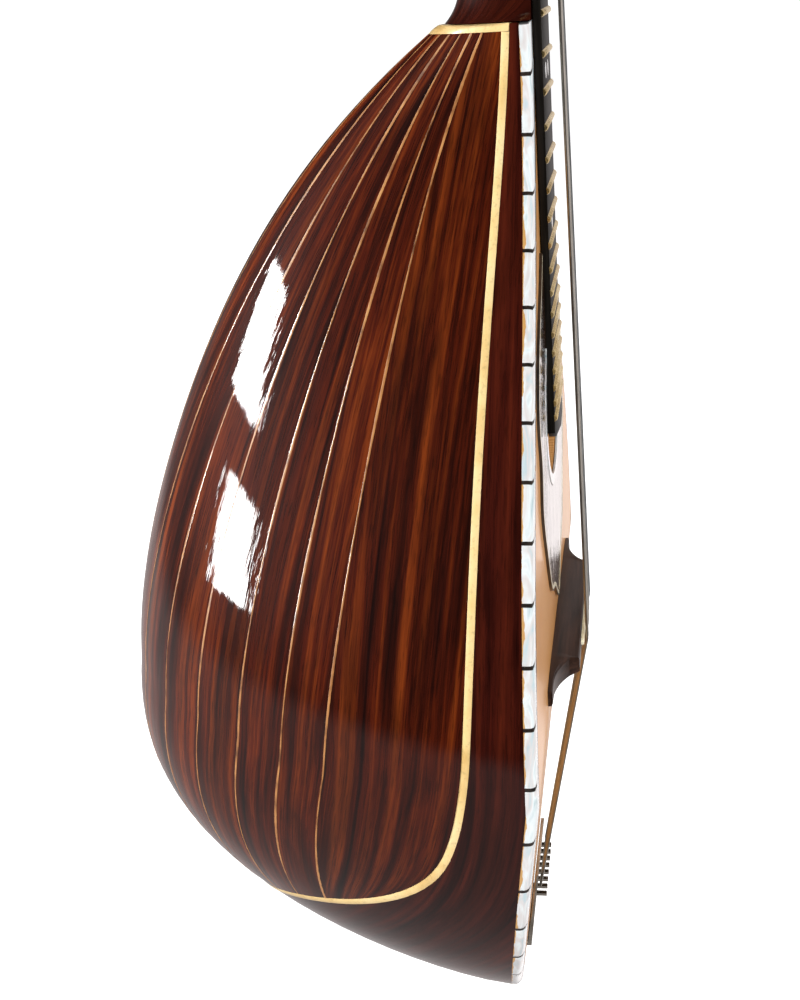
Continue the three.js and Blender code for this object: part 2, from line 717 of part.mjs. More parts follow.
// A string post with its gear, about the Y axis of the head.
function stringPost({ x, z }) {
  const gearFront = WORM_Y - 1.1;
  const gearBack = WORM_Y + 1.1;
  const profile = [[0, -12], [2.9, -12], [3.1, -9.5], [2.3, -8.5], [2.3, -3.5], [3, -2.2],
    [3, gearBack + 0.6], [0, gearBack + 1]];
  const post = new THREE.LatheGeometry(profile.map(([r, y]) => new THREE.Vector2(r, y)), 10);
  const gear = slab(gearOutline(), gearFront, gearBack);
  return inHeadFrame(join(post, gear).translate(x, 0, z));
}

// The worm's thread: a helix of one ridge, turning about the X axis and centred on the gear.
function wormThread() {
  const turns = 2.2;
  const rings = steps(20).map((s) => {
    const turn = (s - 0.5) * turns;
    const angle = turn * 2 * Math.PI;
    const place = (radius, shift) => new THREE.Vector3(
      turn * WORM_LEAD + shift,
      -radius * Math.sin(angle),
      radius * Math.cos(angle),
    );
    return [place(1.3, -0.62), place(3.15, -0.2), place(3.15, 0.2), place(1.3, 0.62)];
  });
  return loft(rings);
}

function knob({ side, x, z }) {
  const profile = [[0, -7.6], [1.25, -7.6], [1.25, -4.4], [1.6, -4.2], [1.6, 4.2], [1.25, 4.4],
    [1.25, 17.5], [2.6, 19], [2.6, 20.6], [0, 20.6]];
  const shaft = new THREE.LatheGeometry(profile.map(([r, y]) => new THREE.Vector2(r, y)), 8);
  shaft.rotateZ(-Math.PI / 2);
  const oval = new THREE.Shape().absellipse(0, 0, 5.4, 6.8, 0, 2 * Math.PI);
  const button = new THREE.ExtrudeGeometry(oval, {
    depth: 2.4,
    bevelThickness: 1.4,
    bevelSize: 1.2,
    bevelOffset: -1.2,
    bevelSegments: 1,
    curveSegments: 7,
  });
  button.rotateX(Math.PI / 2).translate(25.4, 1.2, 0);
  const whole = join(shaft, wormThread(), button);
  if (side === -1) {
    whole.rotateZ(Math.PI);
  }
  return inHeadFrame(whole.translate(x, WORM_Y, z - WORM_DISTANCE));
}

// ---- Tailpiece and strings
const TAIL_DOWN = JOINT_DOWN + BODY_LENGTH;
const HOOK_DOWN = TAIL_DOWN - 20;

function tailpiece() {
  const [low, high] = [TAIL_DOWN + 0.8, TAIL_DOWN - 27];
  const clear = 0.3;
  const [topBack, bendBack] = [boardY(high) - clear, boardY(low) - clear];
  const flangeEnd = boardY(low) + 15;
  const profile = shapeOf([
    [topBack, -high], [topBack - 1.2, -high], [bendBack - 1.2, -low - 1],
    [flangeEnd, -low - 1], [flangeEnd, -low], [bendBack, -low],
  ]);
  const sheet = new THREE.ExtrudeGeometry(profile, { depth: 34, bevelEnabled: false });
  const solid = new THREE.BufferGeometry().copy(sheet);
  const position = solid.attributes.position;
  for (let i = 0; i < position.count; i += 1) {
    const [y, z, x] = [position.getX(i), position.getY(i), position.getZ(i)];
    position.setXYZ(i, x - 17, y, z);
  }
  const hooks = stringPlan().map(({ tailX }) => {
    const hook = new THREE.CylinderGeometry(1, 1, 3.6, 6);
    return hook.translate(tailX, boardY(HOOK_DOWN) - clear - 2.6, -HOOK_DOWN - 2.2);
  });
  return join(solid, ...hooks);
}

// Eight strings in four pairs, bass to treble. The outer pairs go to the lower posts.
function stringPlan() {
  const names = ['g', 'd', 'a', 'e'];
  return names.flatMap((name, course) => [-1, 1].map((half, i) => {
    const side = course < 2 ? -1 : 1;
    const outward = course < 2 ? 1 - course : course - 2;
    const nearer = side === -1 ? i : 1 - i;
    const post = outward === 1 ? nearer : 2 + nearer;
    return {
      name: `string_${name}_${i + 1}`,
      radius: STRING_RADII[name],
      nutX: (course - 1.5) * 7 + half,
      saddleX: (course - 1.5) * 10.8 + half * 1.3,
      tailX: ((course * 2 + i) - 3.5) * 4,
      post: postPlaces[(side === 1 ? 4 : 0) + post],
    };
  }));
}

class Route extends THREE.Curve {
  constructor(points) {
    super();
    this.points = points;
  }

  getPoint(share, target = new THREE.Vector3()) {
    const place = share * (this.points.length - 1);
    const i = Math.min(Math.floor(place), this.points.length - 2);
    return target.lerpVectors(this.points[i], this.points[i + 1], place - i);
  }

  getUtoTmapping(share) {
    return share;
  }
}

function stringSolid({ radius, nutX, saddleX, tailX, post }) {
  const onPost = new THREE.Vector3(post.x - post.side * (2.3 + radius + 0.35), -6, post.z);
  onPost.applyAxisAngle(new THREE.Vector3(1, 0, 0), -HEAD_TILT).add(new THREE.Vector3(0, BOARD_Y, 2.4));
  const lift = radius + GAP;
  const points = [
    new THREE.Vector3(tailX, boardY(HOOK_DOWN) - 2.6, -HOOK_DOWN + 0.8),
    new THREE.Vector3(saddleX, BOARD_Y - SADDLE_TOP - lift, -SCALE - 1),
    new THREE.Vector3(saddleX, BOARD_Y - SADDLE_TOP - lift, -SCALE + 1),
    new THREE.Vector3(nutX, BOARD_Y - NUT_TOP - lift, -2.7),
    new THREE.Vector3(nutX, BOARD_Y - NUT_TOP - lift, 2.3),
    onPost,
  ];
  const section = new THREE.Shape().absarc(0, 0, radius, 0, 2 * Math.PI);
  return new THREE.ExtrudeGeometry(section, {
    steps: points.length - 1, curveSegments: 4, extrudePath: new Route(points),
  });
}

// ---- Assembly
for (let number = 0; number < 13; number += 1) {
  add(`rib_${String(number + 1).padStart(2, '0')}`, 'rosewood', narrowRib(number));
}
add('wide_rib_bass', 'rosewood', wideRib());
add('wide_rib_treble', 'rosewood', acrossMiddle(wideRib()));
add('rim_band', 'dark_wood', rimBand());
add('light_line', 'light_line', lightLine());
add('heel_strip', 'light_line', heelStrip());
add('neck_block', 'inner_wood', neckBlock());
add('tail_block', 'inner_wood', tailBlock());
add('brace_upper', 'inner_wood', brace(206));
add('brace_lower', 'inner_wood', brace(302));
add('lining', 'inner_wood', lining());
add('soundboard', 'spruce', soundboard());
add('pearl_edging', 'pearl', pearlEdging());
add('hole_ring', 'pearl', holeRing());
add('pickguard', 'tortoise', pickguard());
add('bridge', 'bridge_wood', bridge());
add('saddle', 'bone', saddle());
add('neck', 'neck_wood', neck());
add('fingerboard', 'ebony', fingerboard());
add('nut', 'bone', nut());
add('head_veneer', 'rosewood', headVeneer());
add('tailpiece', 'nickel', tailpiece());
add('tuner_plate_bass', 'brass', tunerPlate(-1));
add('tuner_plate_treble', 'brass', tunerPlate(1));
postPlaces.forEach((place, i) => {
  const label = `${place.side === 1 ? 'treble' : 'bass'}_${(i % 4) + 1}`;
  add(`post_${label}`, 'brass', stringPost(place));
  add(`knob_${label}`, 'button', knob(place));
});
for (const plan of stringPlan()) {
  add(plan.name, plan.radius > 0.3 ? 'bronze' : 'steel', stringSolid(plan));
}

export default mandolin;
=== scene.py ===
import functools
import itertools
import json
import math

import bmesh
import bpy
from mathutils import Matrix, Vector


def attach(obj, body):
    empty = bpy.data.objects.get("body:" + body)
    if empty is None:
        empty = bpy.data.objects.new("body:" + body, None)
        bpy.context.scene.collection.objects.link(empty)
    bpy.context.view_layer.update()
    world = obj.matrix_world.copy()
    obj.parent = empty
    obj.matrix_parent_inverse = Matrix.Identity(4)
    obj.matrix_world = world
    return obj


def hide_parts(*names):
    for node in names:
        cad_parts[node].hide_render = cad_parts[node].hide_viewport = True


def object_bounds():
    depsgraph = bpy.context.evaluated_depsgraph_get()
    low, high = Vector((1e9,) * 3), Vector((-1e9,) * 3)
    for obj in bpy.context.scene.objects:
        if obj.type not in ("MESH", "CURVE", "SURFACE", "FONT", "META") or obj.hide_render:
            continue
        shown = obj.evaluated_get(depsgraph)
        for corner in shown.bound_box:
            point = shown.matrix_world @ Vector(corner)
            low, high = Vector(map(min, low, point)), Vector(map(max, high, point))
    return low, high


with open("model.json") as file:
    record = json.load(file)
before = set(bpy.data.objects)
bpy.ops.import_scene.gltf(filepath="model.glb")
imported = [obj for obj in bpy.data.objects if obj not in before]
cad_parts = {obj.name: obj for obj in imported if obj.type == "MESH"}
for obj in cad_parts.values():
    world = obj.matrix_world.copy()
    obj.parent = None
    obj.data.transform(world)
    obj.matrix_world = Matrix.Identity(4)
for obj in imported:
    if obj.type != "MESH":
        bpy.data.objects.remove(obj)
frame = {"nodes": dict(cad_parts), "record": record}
CAD_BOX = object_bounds()

# The bowl-back mandolin's fine surfaces. Lengths are in millimetres until a mesh is made.
# +Z runs up the neck, the soundboard faces -Y and the bass side is -X. "Down" is the distance below the nut.
ROOT = "instrument"
BOARD_Y = -13
EDGE_DROP = 3.2
BEND_DOWN = 336
BEND_SLOPE = math.tan(math.radians(7))
JOINT_DOWN = 145
BODY_LENGTH = 300
# The half widths, depths, first rib angles and band depths are Bezier heights, from the neck joint tailward.
HALF_WIDTHS = (22, 16, 67, 121, 118, 120, 108)
WIDTH_ROUNDING = 5.3
DEPTHS = (22, 94, 111, 133, 145, 168, 90)
DEPTH_ROUNDING = 7.6
SIDE_POWER = 1.9
BACK_POWER = 1.35
SHELL = 2.6
FIRST_RIB_ANGLE = (31, 29, 40)
RIB_WIDTHS = (6.4, 7.0, 7.9, 8.1, 8.2, 8.2)  # in hundredths of the ribs' arch, up to the centre rib
JOINT_HALF = 0.3  # half the gap between two ribs
SIDE_BAND = (3.5, 7, 13, 11.5, 16.5)
TAIL_BAND = (16.5, 24.1, -8.5, 153.5, 31.3, 99.5, 102.8, 102.8)
TURN_DOWN = 336  # where the band leaves the side and turns round the tail
LINE_WIDTH = 2.2
LINE_BURIED = 1.8
STRIP_DOWN = (146.4, 148.5)
BEHIND_STRIP = STRIP_DOWN[1] + 0.05
EDGING_WIDTH = 5
BLOCK_PITCH = 15.8
FIRST_SEPARATOR = 13
SEPARATOR = 0.75
BOARD_THICKNESS = 2.6
HOLE = (256, 28, 22)  # down, half width, half height
SCALE = 330
SADDLE_DOWN = 328
FRETS = 26
FINGERBOARD_TOP = BOARD_Y - 2.5
FINGERBOARD_ENDS = (261, 268)  # down on the bass side and on the treble side
BRIDGE_HALF = 57
BRIDGE_BLOCK_HALF = 36
HEAD_TILT = math.radians(8)
HEAD_UP = 2.4
POST_ACROSS = 15
FIRST_POST_UP = 27
POST_SPACING = 22
BUTTON_ACROSS = POST_ACROSS + 25.4
KNOB_BEHIND = 19.0
KNOB_BELOW_POST = 7.8


# ---- Numbers, curves and meshes
def bezier(values, share):
    row = list(values)
    while len(row) > 1:
        row = [a + (b - a) * share for a, b in zip(row, row[1:])]
    return row[0]


def bisect(is_past, low, high):
    for _ in range(34):
        middle = (low + high) / 2
        if is_past(middle):
            high = middle
        else:
            low = middle
    return (low + high) / 2


def steps(count, start=0.0, end=1.0):
    return [start + (end - start) * i / count for i in range(count + 1)]


def circle(count, radius):
    angles = steps(count, 0, 2 * math.pi)[:-1]
    return [(radius * math.cos(a), radius * math.sin(a)) for a in angles]


def smooth_through(points, share):
    """A point on a smooth curve through these points."""
    place = share * (len(points) - 1)
    i = min(int(place), len(points) - 2)
    t = place - i
    a, b = points[max(i - 1, 0)], points[i]
    c, d = points[i + 1], points[min(i + 2, len(points) - 1)]
    return tuple(
        0.5 * (2 * q + (r - p) * t + (2 * p - 5 * q + 4 * r - s) * t * t + (3 * q - p - 3 * r + s) * t ** 3)
        for p, q, r, s in zip(a, b, c, d)
    )


def running_lengths(points):
    """The length along a row of points up to each of them."""
    gaps = [(q - p).length for p, q in zip(points, points[1:])]
    return list(itertools.accumulate(gaps, initial=0.0))


def added(name, data):
    made = bpy.data.objects.new(name, data)
    bpy.context.scene.collection.objects.link(made)
    return made


def piece(name, points, faces, material, body=ROOT, grain=None, sharp=40, nodes=(), slot=None):
    """A mesh object from points in millimetres, riding on a body and standing for the given CAD nodes."""
    mesh = bpy.data.meshes.new(name)
    mesh.from_pydata([Vector(p) / 1000 for p in points], [], faces)
    if grain:
        layer = mesh.attributes.new("grain", "FLOAT_VECTOR", "POINT")
        for item, value in zip(layer.data, grain):
            item.vector = value
    return finished(name, mesh, material, body, sharp, nodes, slot)


def finished(name, mesh, material, body, sharp, nodes, slot):
    work = bmesh.new()
    work.from_mesh(mesh)
    bmesh.ops.recalc_face_normals(work, faces=work.faces)
    work.to_mesh(mesh)
    work.free()
    mesh.polygons.foreach_set("use_smooth", [True] * len(mesh.polygons))
    mesh.set_sharp_from_angle(angle=math.radians(sharp))
    mesh.materials.append(material)
    made = added(name, mesh)
    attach(made, body)
    if nodes:
        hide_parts(*nodes)
        slot = slot or node_slot(nodes[0])
    return made


def node_slot(node):
    return next(part["material_slot"] for part in frame["record"]["subparts"] if part["node"] == node)


def loft(rings, offset):
    """Faces of a closed solid through rings of equal length, numbered from offset."""
    size, count = len(rings[0]), len(rings)
    faces = []
    for r in range(count - 1):
        here, after = offset + r * size, offset + (r + 1) * size
        for i in range(size):
            j = (i + 1) % size
            faces.append([here + i, here + j, after + j, after + i])
    for start in (0, (count - 1) * size):
        for i in range((size - 1) // 2):
            opposite = size - 1 - i
            corners = [i, i + 1, opposite - 1, opposite] if i + 1 < opposite - 1 else [i, i + 1, opposite]
            faces.append([offset + start + k for k in corners])
    return faces


def lofted(name, rings, material, grains=None, **options):
    """One object from a list of lofts, each a list of rings."""
    points, faces, grain = [], [], []
    for k, part in enumerate(rings):
        faces += loft(part, len(points))
        points += [p for ring in part for p in ring]
        if grains:
            grain += [g for ring in grains[k] for g in ring]
    return piece(name, points, faces, material, grain=grain or None, **options)


# ---- The bowl's surface, the same arches as in the CAD
def edge_y(down):
    return BOARD_Y + EDGE_DROP + max(0, down - BEND_DOWN) * BEND_SLOPE


def board_y(down):
    return edge_y(down) - EDGE_DROP


def share_at(down):
    return (down - JOINT_DOWN) / BODY_LENGTH


def down_at(share):
    return JOINT_DOWN + share * BODY_LENGTH


def half_width(share):
    return bezier(HALF_WIDTHS, share) * math.sqrt(max(1e-9, 1 - max(0, share) ** WIDTH_ROUNDING))


def bowl_depth(share):
    return bezier(DEPTHS, share) * math.sqrt(max(1e-9, 1 - max(0, share) ** DEPTH_ROUNDING))


def bowl_point(share, angle):
    across = math.cos(angle)
    x = -half_width(share) * math.copysign(abs(across) ** (2 / SIDE_POWER), across)
    y = edge_y(down_at(share)) + bowl_depth(share) * math.sin(angle) ** (2 / BACK_POWER)
    return Vector((x, y, -down_at(share)))


def bowl_level(x, y, down):
    share = min(1, share_at(down))
    behind = max(0, y - edge_y(down))
    return (abs(x) / half_width(share)) ** SIDE_POWER + (behind / bowl_depth(share)) ** BACK_POWER


def bowl_normal(p):
    def slope(dx, dy, dz):
        ahead = bowl_level(p.x + dx, p.y + dy, -p.z - dz)
        return ahead - bowl_level(p.x - dx, p.y - dy, -p.z + dz)

    apart = 0.01
    return Vector((slope(apart, 0, 0), slope(0, apart, 0), slope(0, 0, apart))).normalized()


def raised(point, height):
    return point + bowl_normal(point) * height


def tail_point(turn, depth):
    def at(radius):
        return -math.cos(turn) * radius, TURN_DOWN + math.sin(turn) * radius

    def outside(radius):
        x, down = at(radius)
        return share_at(down) >= 1 or bowl_level(x, edge_y(down) + depth, down) > 1

    x, down = at(bisect(outside, 5, 140))
    return Vector((x, edge_y(down) + depth, -down))


def side_point(down, depth):
    share = share_at(down)
    fullness = 1 - (depth / bowl_depth(share)) ** BACK_POWER
    return Vector((-half_width(share) * fullness ** (1 / SIDE_POWER), edge_y(down) + depth, -down))


def rim_place(place, start=STRIP_DOWN[0]):
    """(down, None) along the side while place is under a half, then (None, turn) round the tail."""
    if place <= 0.5:
        return start + (TURN_DOWN - start) * place * 2, None
    return None, math.pi * (place - 0.5)


def band_depth(down, turn):
    if turn is None:
        return bezier(SIDE_BAND, (down - STRIP_DOWN[0]) / (TURN_DOWN - STRIP_DOWN[0]))
    return bezier(TAIL_BAND, turn / (math.pi / 2))


def band_point(down, turn, depth):
    return side_point(down, depth) if turn is None else tail_point(turn, depth)


LINE_WEIGHTS = ((-3, 0.1), (-2, 0.15), (-1, 0.15), (0, 0.2), (1, 0.15), (2, 0.15), (3, 0.1))


def line_point(place, shift, start=STRIP_DOWN[0]):
    """A point along the light line's middle, shifted sideways on the bowl: into the band when negative."""
    def exact(p):
        where = rim_place(min(1, max(0, p)), start)
        return band_point(*where, band_depth(*where))

    def at(p):
        """The line turns without a corner where the side meets the tail."""
        reach = 0.012 * max(0, 1 - abs(p - 0.5) / 0.15)
        if not reach:
            return exact(p)
        return sum((exact(p + k * reach) * weight for k, weight in LINE_WEIGHTS), Vector())

    point = at(place)
    along = (at(place + 0.003) - at(place - 0.003)).normalized()
    if place > 0.997:
        along = Vector((1, 0, 0))
    sideways = along.cross(bowl_normal(point)).normalized()
    if sideways.y < 0:
        sideways.negate()
    return point + sideways * shift


def where_of(point):
    down = -point.z
    turn = math.atan2(down - TURN_DOWN, abs(point.x))
    return (None, turn) if turn > 0 else (down, None)


def flip(point):
    return Vector((-point.x, point.y, point.z))


def around_tail(half):
    return half + [[flip(p) for p in ring] for ring in reversed(half[:-1])]


def shell_ring(outer, thickness=SHELL):
    return outer + [raised(p, -thickness) for p in reversed(outer)]


def rib_shares():
    centre = 100 - 2 * sum(RIB_WIDTHS)
    edges = [0.0]
    for width in (*RIB_WIDTHS, centre, *reversed(RIB_WIDTHS)):
        edges.append(edges[-1] + width / 100)
    return edges


RIB_EDGES = rib_shares()
RIB_COUNT = len(RIB_EDGES) - 1
RIB_START = share_at(BEHIND_STRIP)


@functools.cache
def rib_arch(share):
    """Angles across all the ribs, and the arch's length up to each of them."""
    first = math.radians(bezier(FIRST_RIB_ANGLE, share))
    angles = steps(60, first, math.pi - first)
    return angles, running_lengths([bowl_point(share, angle) for angle in angles])


def rib_angle(edge, share):
    """The angle of a place across the ribs: 0 is the first rib line, 2.5 is halfway across the third rib."""
    angles, lengths = rib_arch(round(share, 6))
    low = min(int(edge), RIB_COUNT - 1)
    wanted = (RIB_EDGES[low] + (RIB_EDGES[low + 1] - RIB_EDGES[low]) * (edge - low)) * lengths[-1]
    i = next((k for k in range(1, len(lengths)) if lengths[k] >= wanted), len(lengths) - 1)
    between = (wanted - lengths[i - 1]) / (lengths[i] - lengths[i - 1])
    return angles[i - 1] + (angles[i] - angles[i - 1]) * between


def rib_point(edge, share):
    return bowl_point(share, rib_angle(edge, share))


@functools.cache
def rib_end(edge):
    """Where a line across the ribs meets the light line round the tail."""
    def past(share):
        point = rib_point(edge, share)
        return band_depth(*where_of(point)) > point.y - edge_y(-point.z)

    crossing = rib_point(edge, bisect(past, 0.5, 0.97))
    return share_at(-crossing.z) - 0.9 / BODY_LENGTH


# ---- Materials
class Nodes:
    """A small helper that makes and links shader nodes in one tree."""

    def __init__(self, tree):
        self.tree = tree

    def node(self, kind, inputs=(), **properties):
        made = self.tree.nodes.new("ShaderNode" + kind)
        for key, value in properties.items():
            setattr(made, key, value)
        for key, value in dict(inputs).items():
            if isinstance(value, bpy.types.NodeSocket):
                self.tree.links.new(value, made.inputs[key])
            else:
                made.inputs[key].default_value = value
        return made

    def calculate(self, operation, *values):
        return self.node("Math", dict(enumerate(values)), operation=operation).outputs[0]

    def part(self, vector, axis):
        return self.node("SeparateXYZ", {"Vector": vector}).outputs[axis]


class Material(Nodes):
    """A material with a Principled shader."""

    def __init__(self, name, **sockets):
        self.made = bpy.data.materials.new(name)
        self.made.use_nodes = True
        super().__init__(self.made.node_tree)
        self.shader = self.tree.nodes["Principled BSDF"]
        for socket, value in sockets.items():
            self.shader.inputs[socket.replace("_", " ")].default_value = value

    def link(self, output, socket):
        self.tree.links.new(output, self.shader.inputs[socket])

    def along_grain(self):
        """The grain attribute: across and along in metres, and a number that differs from piece to piece."""
        return self.node("Attribute", attribute_name="grain").outputs["Vector"]

    def in_object(self):
        return self.node("TexCoord").outputs["Object"]

    def grain(self, scale):
        return self.node("Mapping", {"Vector": self.along_grain(), "Scale": scale}).outputs["Vector"]

    def place(self, *scale):
        """Object coordinates times one scale, or times one for each axis."""
        scale = scale * 3 if len(scale) == 1 else scale
        return self.node("Mapping", {"Vector": self.in_object(), "Scale": scale}).outputs["Vector"]

    def noise(self, vector, detail=4.0, roughness=0.55, distortion=0.0, scale=1.0):
        inputs = {"Vector": vector, "Scale": scale, "Detail": detail, "Roughness": roughness,
                  "Distortion": distortion}
        return self.node("TexNoise", inputs).outputs["Fac"]

    def ramp(self, factor, *stops):
        made = self.node("ValToRGB", {"Fac": factor})
        elements = made.color_ramp.elements
        while len(elements) < len(stops):
            elements.new(0.5)
        for element, (position, color) in zip(elements, stops):
            element.position = position
            element.color = (*color, 1)
        return made.outputs["Color"]

    def mix(self, factor, first, second, blend="MIX"):
        """Inputs 6 and 7 and output 2 are a Mix node's colours."""
        first, second = ((*value, 1) if isinstance(value, tuple) else value for value in (first, second))
        inputs = {0: factor, 6: first, 7: second}
        return self.node("Mix", inputs, data_type="RGBA", blend_type=blend).outputs[2]

    def darkened(self, color, amount, pattern, *stops):
        """A colour multiplied by a pattern's ramp, in part or in full."""
        return self.mix(amount, color, self.ramp(pattern, *stops), "MULTIPLY")

    def bump(self, *layers):
        """Each layer is (height, distance in metres, strength)."""
        normal = None
        for height, distance, strength in layers:
            inputs = {"Height": height, "Distance": distance, "Strength": strength}
            if normal:
                inputs["Normal"] = normal
            normal = self.node("Bump", inputs).outputs["Normal"]
        self.link(normal, "Normal")
        self.link(normal, "Coat Normal")


def grey(value):
    return (value, value, value)


def varnished_wood(name, dark, middle, light, spread=0.5, pore=0.55, ripple=0.35):
    """Figured hardwood under a thick gloss varnish, with the grain along the piece."""
    m = Material(name, Roughness=0.5, Specular_IOR_Level=0.03, Coat_Weight=1.0, Coat_Roughness=0.03,
                 Coat_IOR=1.5)
    streaks = m.noise(m.grain((300, 7, 1)), 6, 0.65, 0.4)
    figure = m.noise(m.grain((85, 12, 1)), 4, 0.6, 1.0)
    fine = m.noise(m.grain((2100, 120, 1)), 2, 0.6)
    pieces = m.noise(m.grain((0.001, 0.001, 7.3)), 0, 0.5)
    tone = m.ramp(streaks, (0.34, dark), (0.5, middle), (0.68, light))
    tone = m.darkened(tone, 0.85, figure, (0.34, grey(0.3)), (0.6, grey(1.0)))
    tone = m.darkened(tone, 1.0, pieces, (0.5 - spread / 2, grey(0.6)), (0.5 + spread / 2, grey(1.5)))
    tone = m.darkened(tone, pore, fine, (0.36, grey(0.25)), (0.47, grey(1.0)))
    m.link(tone, "Base Color")
    orange_peel = m.noise(m.grain((160, 42, 1)), 2, 0.5)
    m.bump((orange_peel, 0.0004, ripple), (fine, 0.00005, 0.35))
    return m.made


def cream_line():
    m = Material("cream_line", Roughness=0.35, Coat_Weight=0.6, Coat_Roughness=0.1)
    age = m.noise(m.place(60), 4)
    tone = m.ramp(age, (0.3, (0.60, 0.38, 0.13)), (0.5, (0.76, 0.55, 0.24)), (0.8, (0.84, 0.68, 0.38)))
    specks = m.noise(m.place(900), 2)
    m.link(m.darkened(tone, 0.35, specks, (0.3, grey(0.45)), (0.45, grey(1.0))), "Base Color")
    m.bump((specks, 0.00005, 0.3))
    return m.made


def rib_joint():
    m = Material("rib_joint", Roughness=0.4, Coat_Weight=0.8, Coat_Roughness=0.05)
    age = m.noise(m.place(160), 3)
    tone = m.ramp(age, (0.3, (0.12, 0.04, 0.01)), (0.5, (0.34, 0.14, 0.04)), (0.75, (0.5, 0.24, 0.08)))
    m.link(tone, "Base Color")
    return m.made


def pearl(name, in_edging):
    """Mother of pearl: cool white with soft bands of colour, and in the edging a warm edge by the wood."""
    m = Material(name, Roughness=0.22, Coat_Weight=1.0, Coat_Roughness=0.04)
    waves = m.noise(m.grain((240, 60, 3)) if in_edging else m.place(160), 3, 0.5, 1.5)
    tone = m.ramp(waves, (0.25, (0.40, 0.52, 0.55)), (0.42, (0.74, 0.79, 0.80)), (0.55, (0.66, 0.63, 0.62)),
                  (0.68, (0.48, 0.60, 0.64)), (0.82, (0.80, 0.81, 0.79)))
    if in_edging:
        reach = m.calculate("MULTIPLY_ADD", m.noise(m.grain((60, 90, 5))), 0.0035, -0.0015)
        near_wood = m.calculate("LESS_THAN", m.part(m.along_grain(), "X"), reach)
        tone = m.mix(near_wood, tone, (0.55, 0.30, 0.10))
    m.link(tone, "Base Color")
    m.bump((waves, 0.0001, 0.15))
    return m.made


def separator_black():
    m = Material("separator_black", Roughness=0.3, Coat_Weight=0.6, Coat_Roughness=0.06)
    wear = m.noise(m.place(700), 3)
    m.link(m.ramp(wear, (0.3, grey(0.006)), (0.7, (0.03, 0.02, 0.015))), "Base Color")
    return m.made


def spruce():
    """Straight year rings along the board, about 1.2 mm apart and drifting a little."""
    m = Material("spruce", Roughness=0.45, Specular_IOR_Level=0.1, Coat_Weight=0.5, Coat_Roughness=0.08)
    drift = m.noise(m.place(18, 18, 3), 2)
    across = m.calculate("MULTIPLY", m.part(m.in_object(), "X"), 5400.0)
    line = m.calculate("SINE", m.calculate("MULTIPLY_ADD", drift, 9.0, across))
    tone = m.ramp(line, (0.2, (0.88, 0.46, 0.17)), (0.75, (0.84, 0.41, 0.14)), (1.0, (0.56, 0.22, 0.05)))
    fibres = m.noise(m.place(1600, 1600, 22), 3)
    tone = m.darkened(tone, 0.35, fibres, (0.3, grey(0.6)), (0.65, grey(1.0)))
    patches = m.noise(m.place(14, 14, 8), 3)
    tone = m.darkened(tone, 0.6, patches, (0.3, (0.92, 0.80, 0.68)), (0.65, grey(1.0)))
    m.link(tone, "Base Color")
    m.bump((fibres, 0.00004, 0.3))
    return m.made


def guard_plate():
    m = Material("guard_plate", Roughness=0.18, Coat_Weight=1.0, Coat_Roughness=0.03)
    clouds = m.noise(m.place(42), 5, 0.6, 1.8)
    tone = m.ramp(clouds, (0.35, (0.010, 0.004, 0.002)), (0.52, (0.07, 0.022, 0.006)),
                  (0.66, (0.30, 0.12, 0.03)))
    m.link(tone, "Base Color")
    scratches = m.noise(m.place(260, 260, 60), 4, 0.6, 1.0)
    m.bump((clouds, 0.0008, 0.5), (scratches, 0.0001, 0.4))
    return m.made


def satin_wood(name, dark, light, stretch, roughness, coat, gloss):
    m = Material(name, Roughness=roughness, Specular_IOR_Level=gloss, Coat_Weight=coat, Coat_Roughness=0.25)
    fibres = m.noise(m.place(*stretch), 5, 0.6, 0.4)
    clouds = m.noise(m.place(*(k / 14 for k in stretch)), 3)
    tone = m.ramp(fibres, (0.3, dark), (0.7, light))
    m.link(m.darkened(tone, 0.6, clouds, (0.3, grey(0.55)), (0.7, grey(1.0))), "Base Color")
    m.bump((fibres, 0.00008, 0.4))
    return m.made


def bone():
    m = Material("bone", Roughness=0.33, Coat_Weight=0.3, Coat_Roughness=0.15, Subsurface_Weight=0.05)
    veins = m.noise(m.place(240, 240, 90), 4, 0.6, 0.6)
    tone = m.ramp(veins, (0.3, (0.60, 0.47, 0.26)), (0.55, (0.80, 0.70, 0.48)), (0.8, (0.88, 0.82, 0.64)))
    m.link(tone, "Base Color")
    m.bump((veins, 0.00005, 0.25))
    return m.made


def metal(name, dark, light, roughness, stretch=(300, 300, 300)):
    m = Material(name, Metallic=1.0, Roughness=roughness)
    tarnish = m.noise(m.place(70), 5, 0.65)
    brushed = m.noise(m.place(*stretch), 3, scale=3)
    m.link(m.mix(m.ramp(tarnish, (0.35, grey(0.0)), (0.7, grey(1.0))), dark, light), "Base Color")
    m.link(m.ramp(brushed, (0.25, grey(roughness * 0.7)), (0.8, grey(roughness * 1.7))), "Roughness")
    m.bump((brushed, 0.00003, 0.3))
    return m.made


def wound_string():
    """Bronze wire wound closely round a core."""
    m = Material("wound_string", Metallic=1.0, Roughness=0.3)
    turns_per_metre = 4500
    turns = m.calculate("MULTIPLY", m.part(m.in_object(), "Z"), 2 * math.pi * turns_per_metre)
    ridge = m.calculate("SINE", turns)
    tarnish = m.noise(m.place(90), 4)
    m.link(m.ramp(tarnish, (0.3, (0.30, 0.29, 0.25)), (0.7, (0.60, 0.57, 0.50))), "Base Color")
    m.bump((ridge, 0.00004, 0.5))
    return m.made


def plastic_button():
    m = Material("button", Roughness=0.25, Coat_Weight=0.7, Coat_Roughness=0.08, Subsurface_Weight=0.08)
    swirl = m.noise(m.place(120), 4, 0.6, 2.0)
    tone = m.ramp(swirl, (0.3, (0.70, 0.60, 0.40)), (0.6, (0.86, 0.80, 0.64)), (0.8, (0.92, 0.89, 0.78)))
    m.link(tone, "Base Color")
    m.bump((swirl, 0.0001, 0.1))
    return m.made


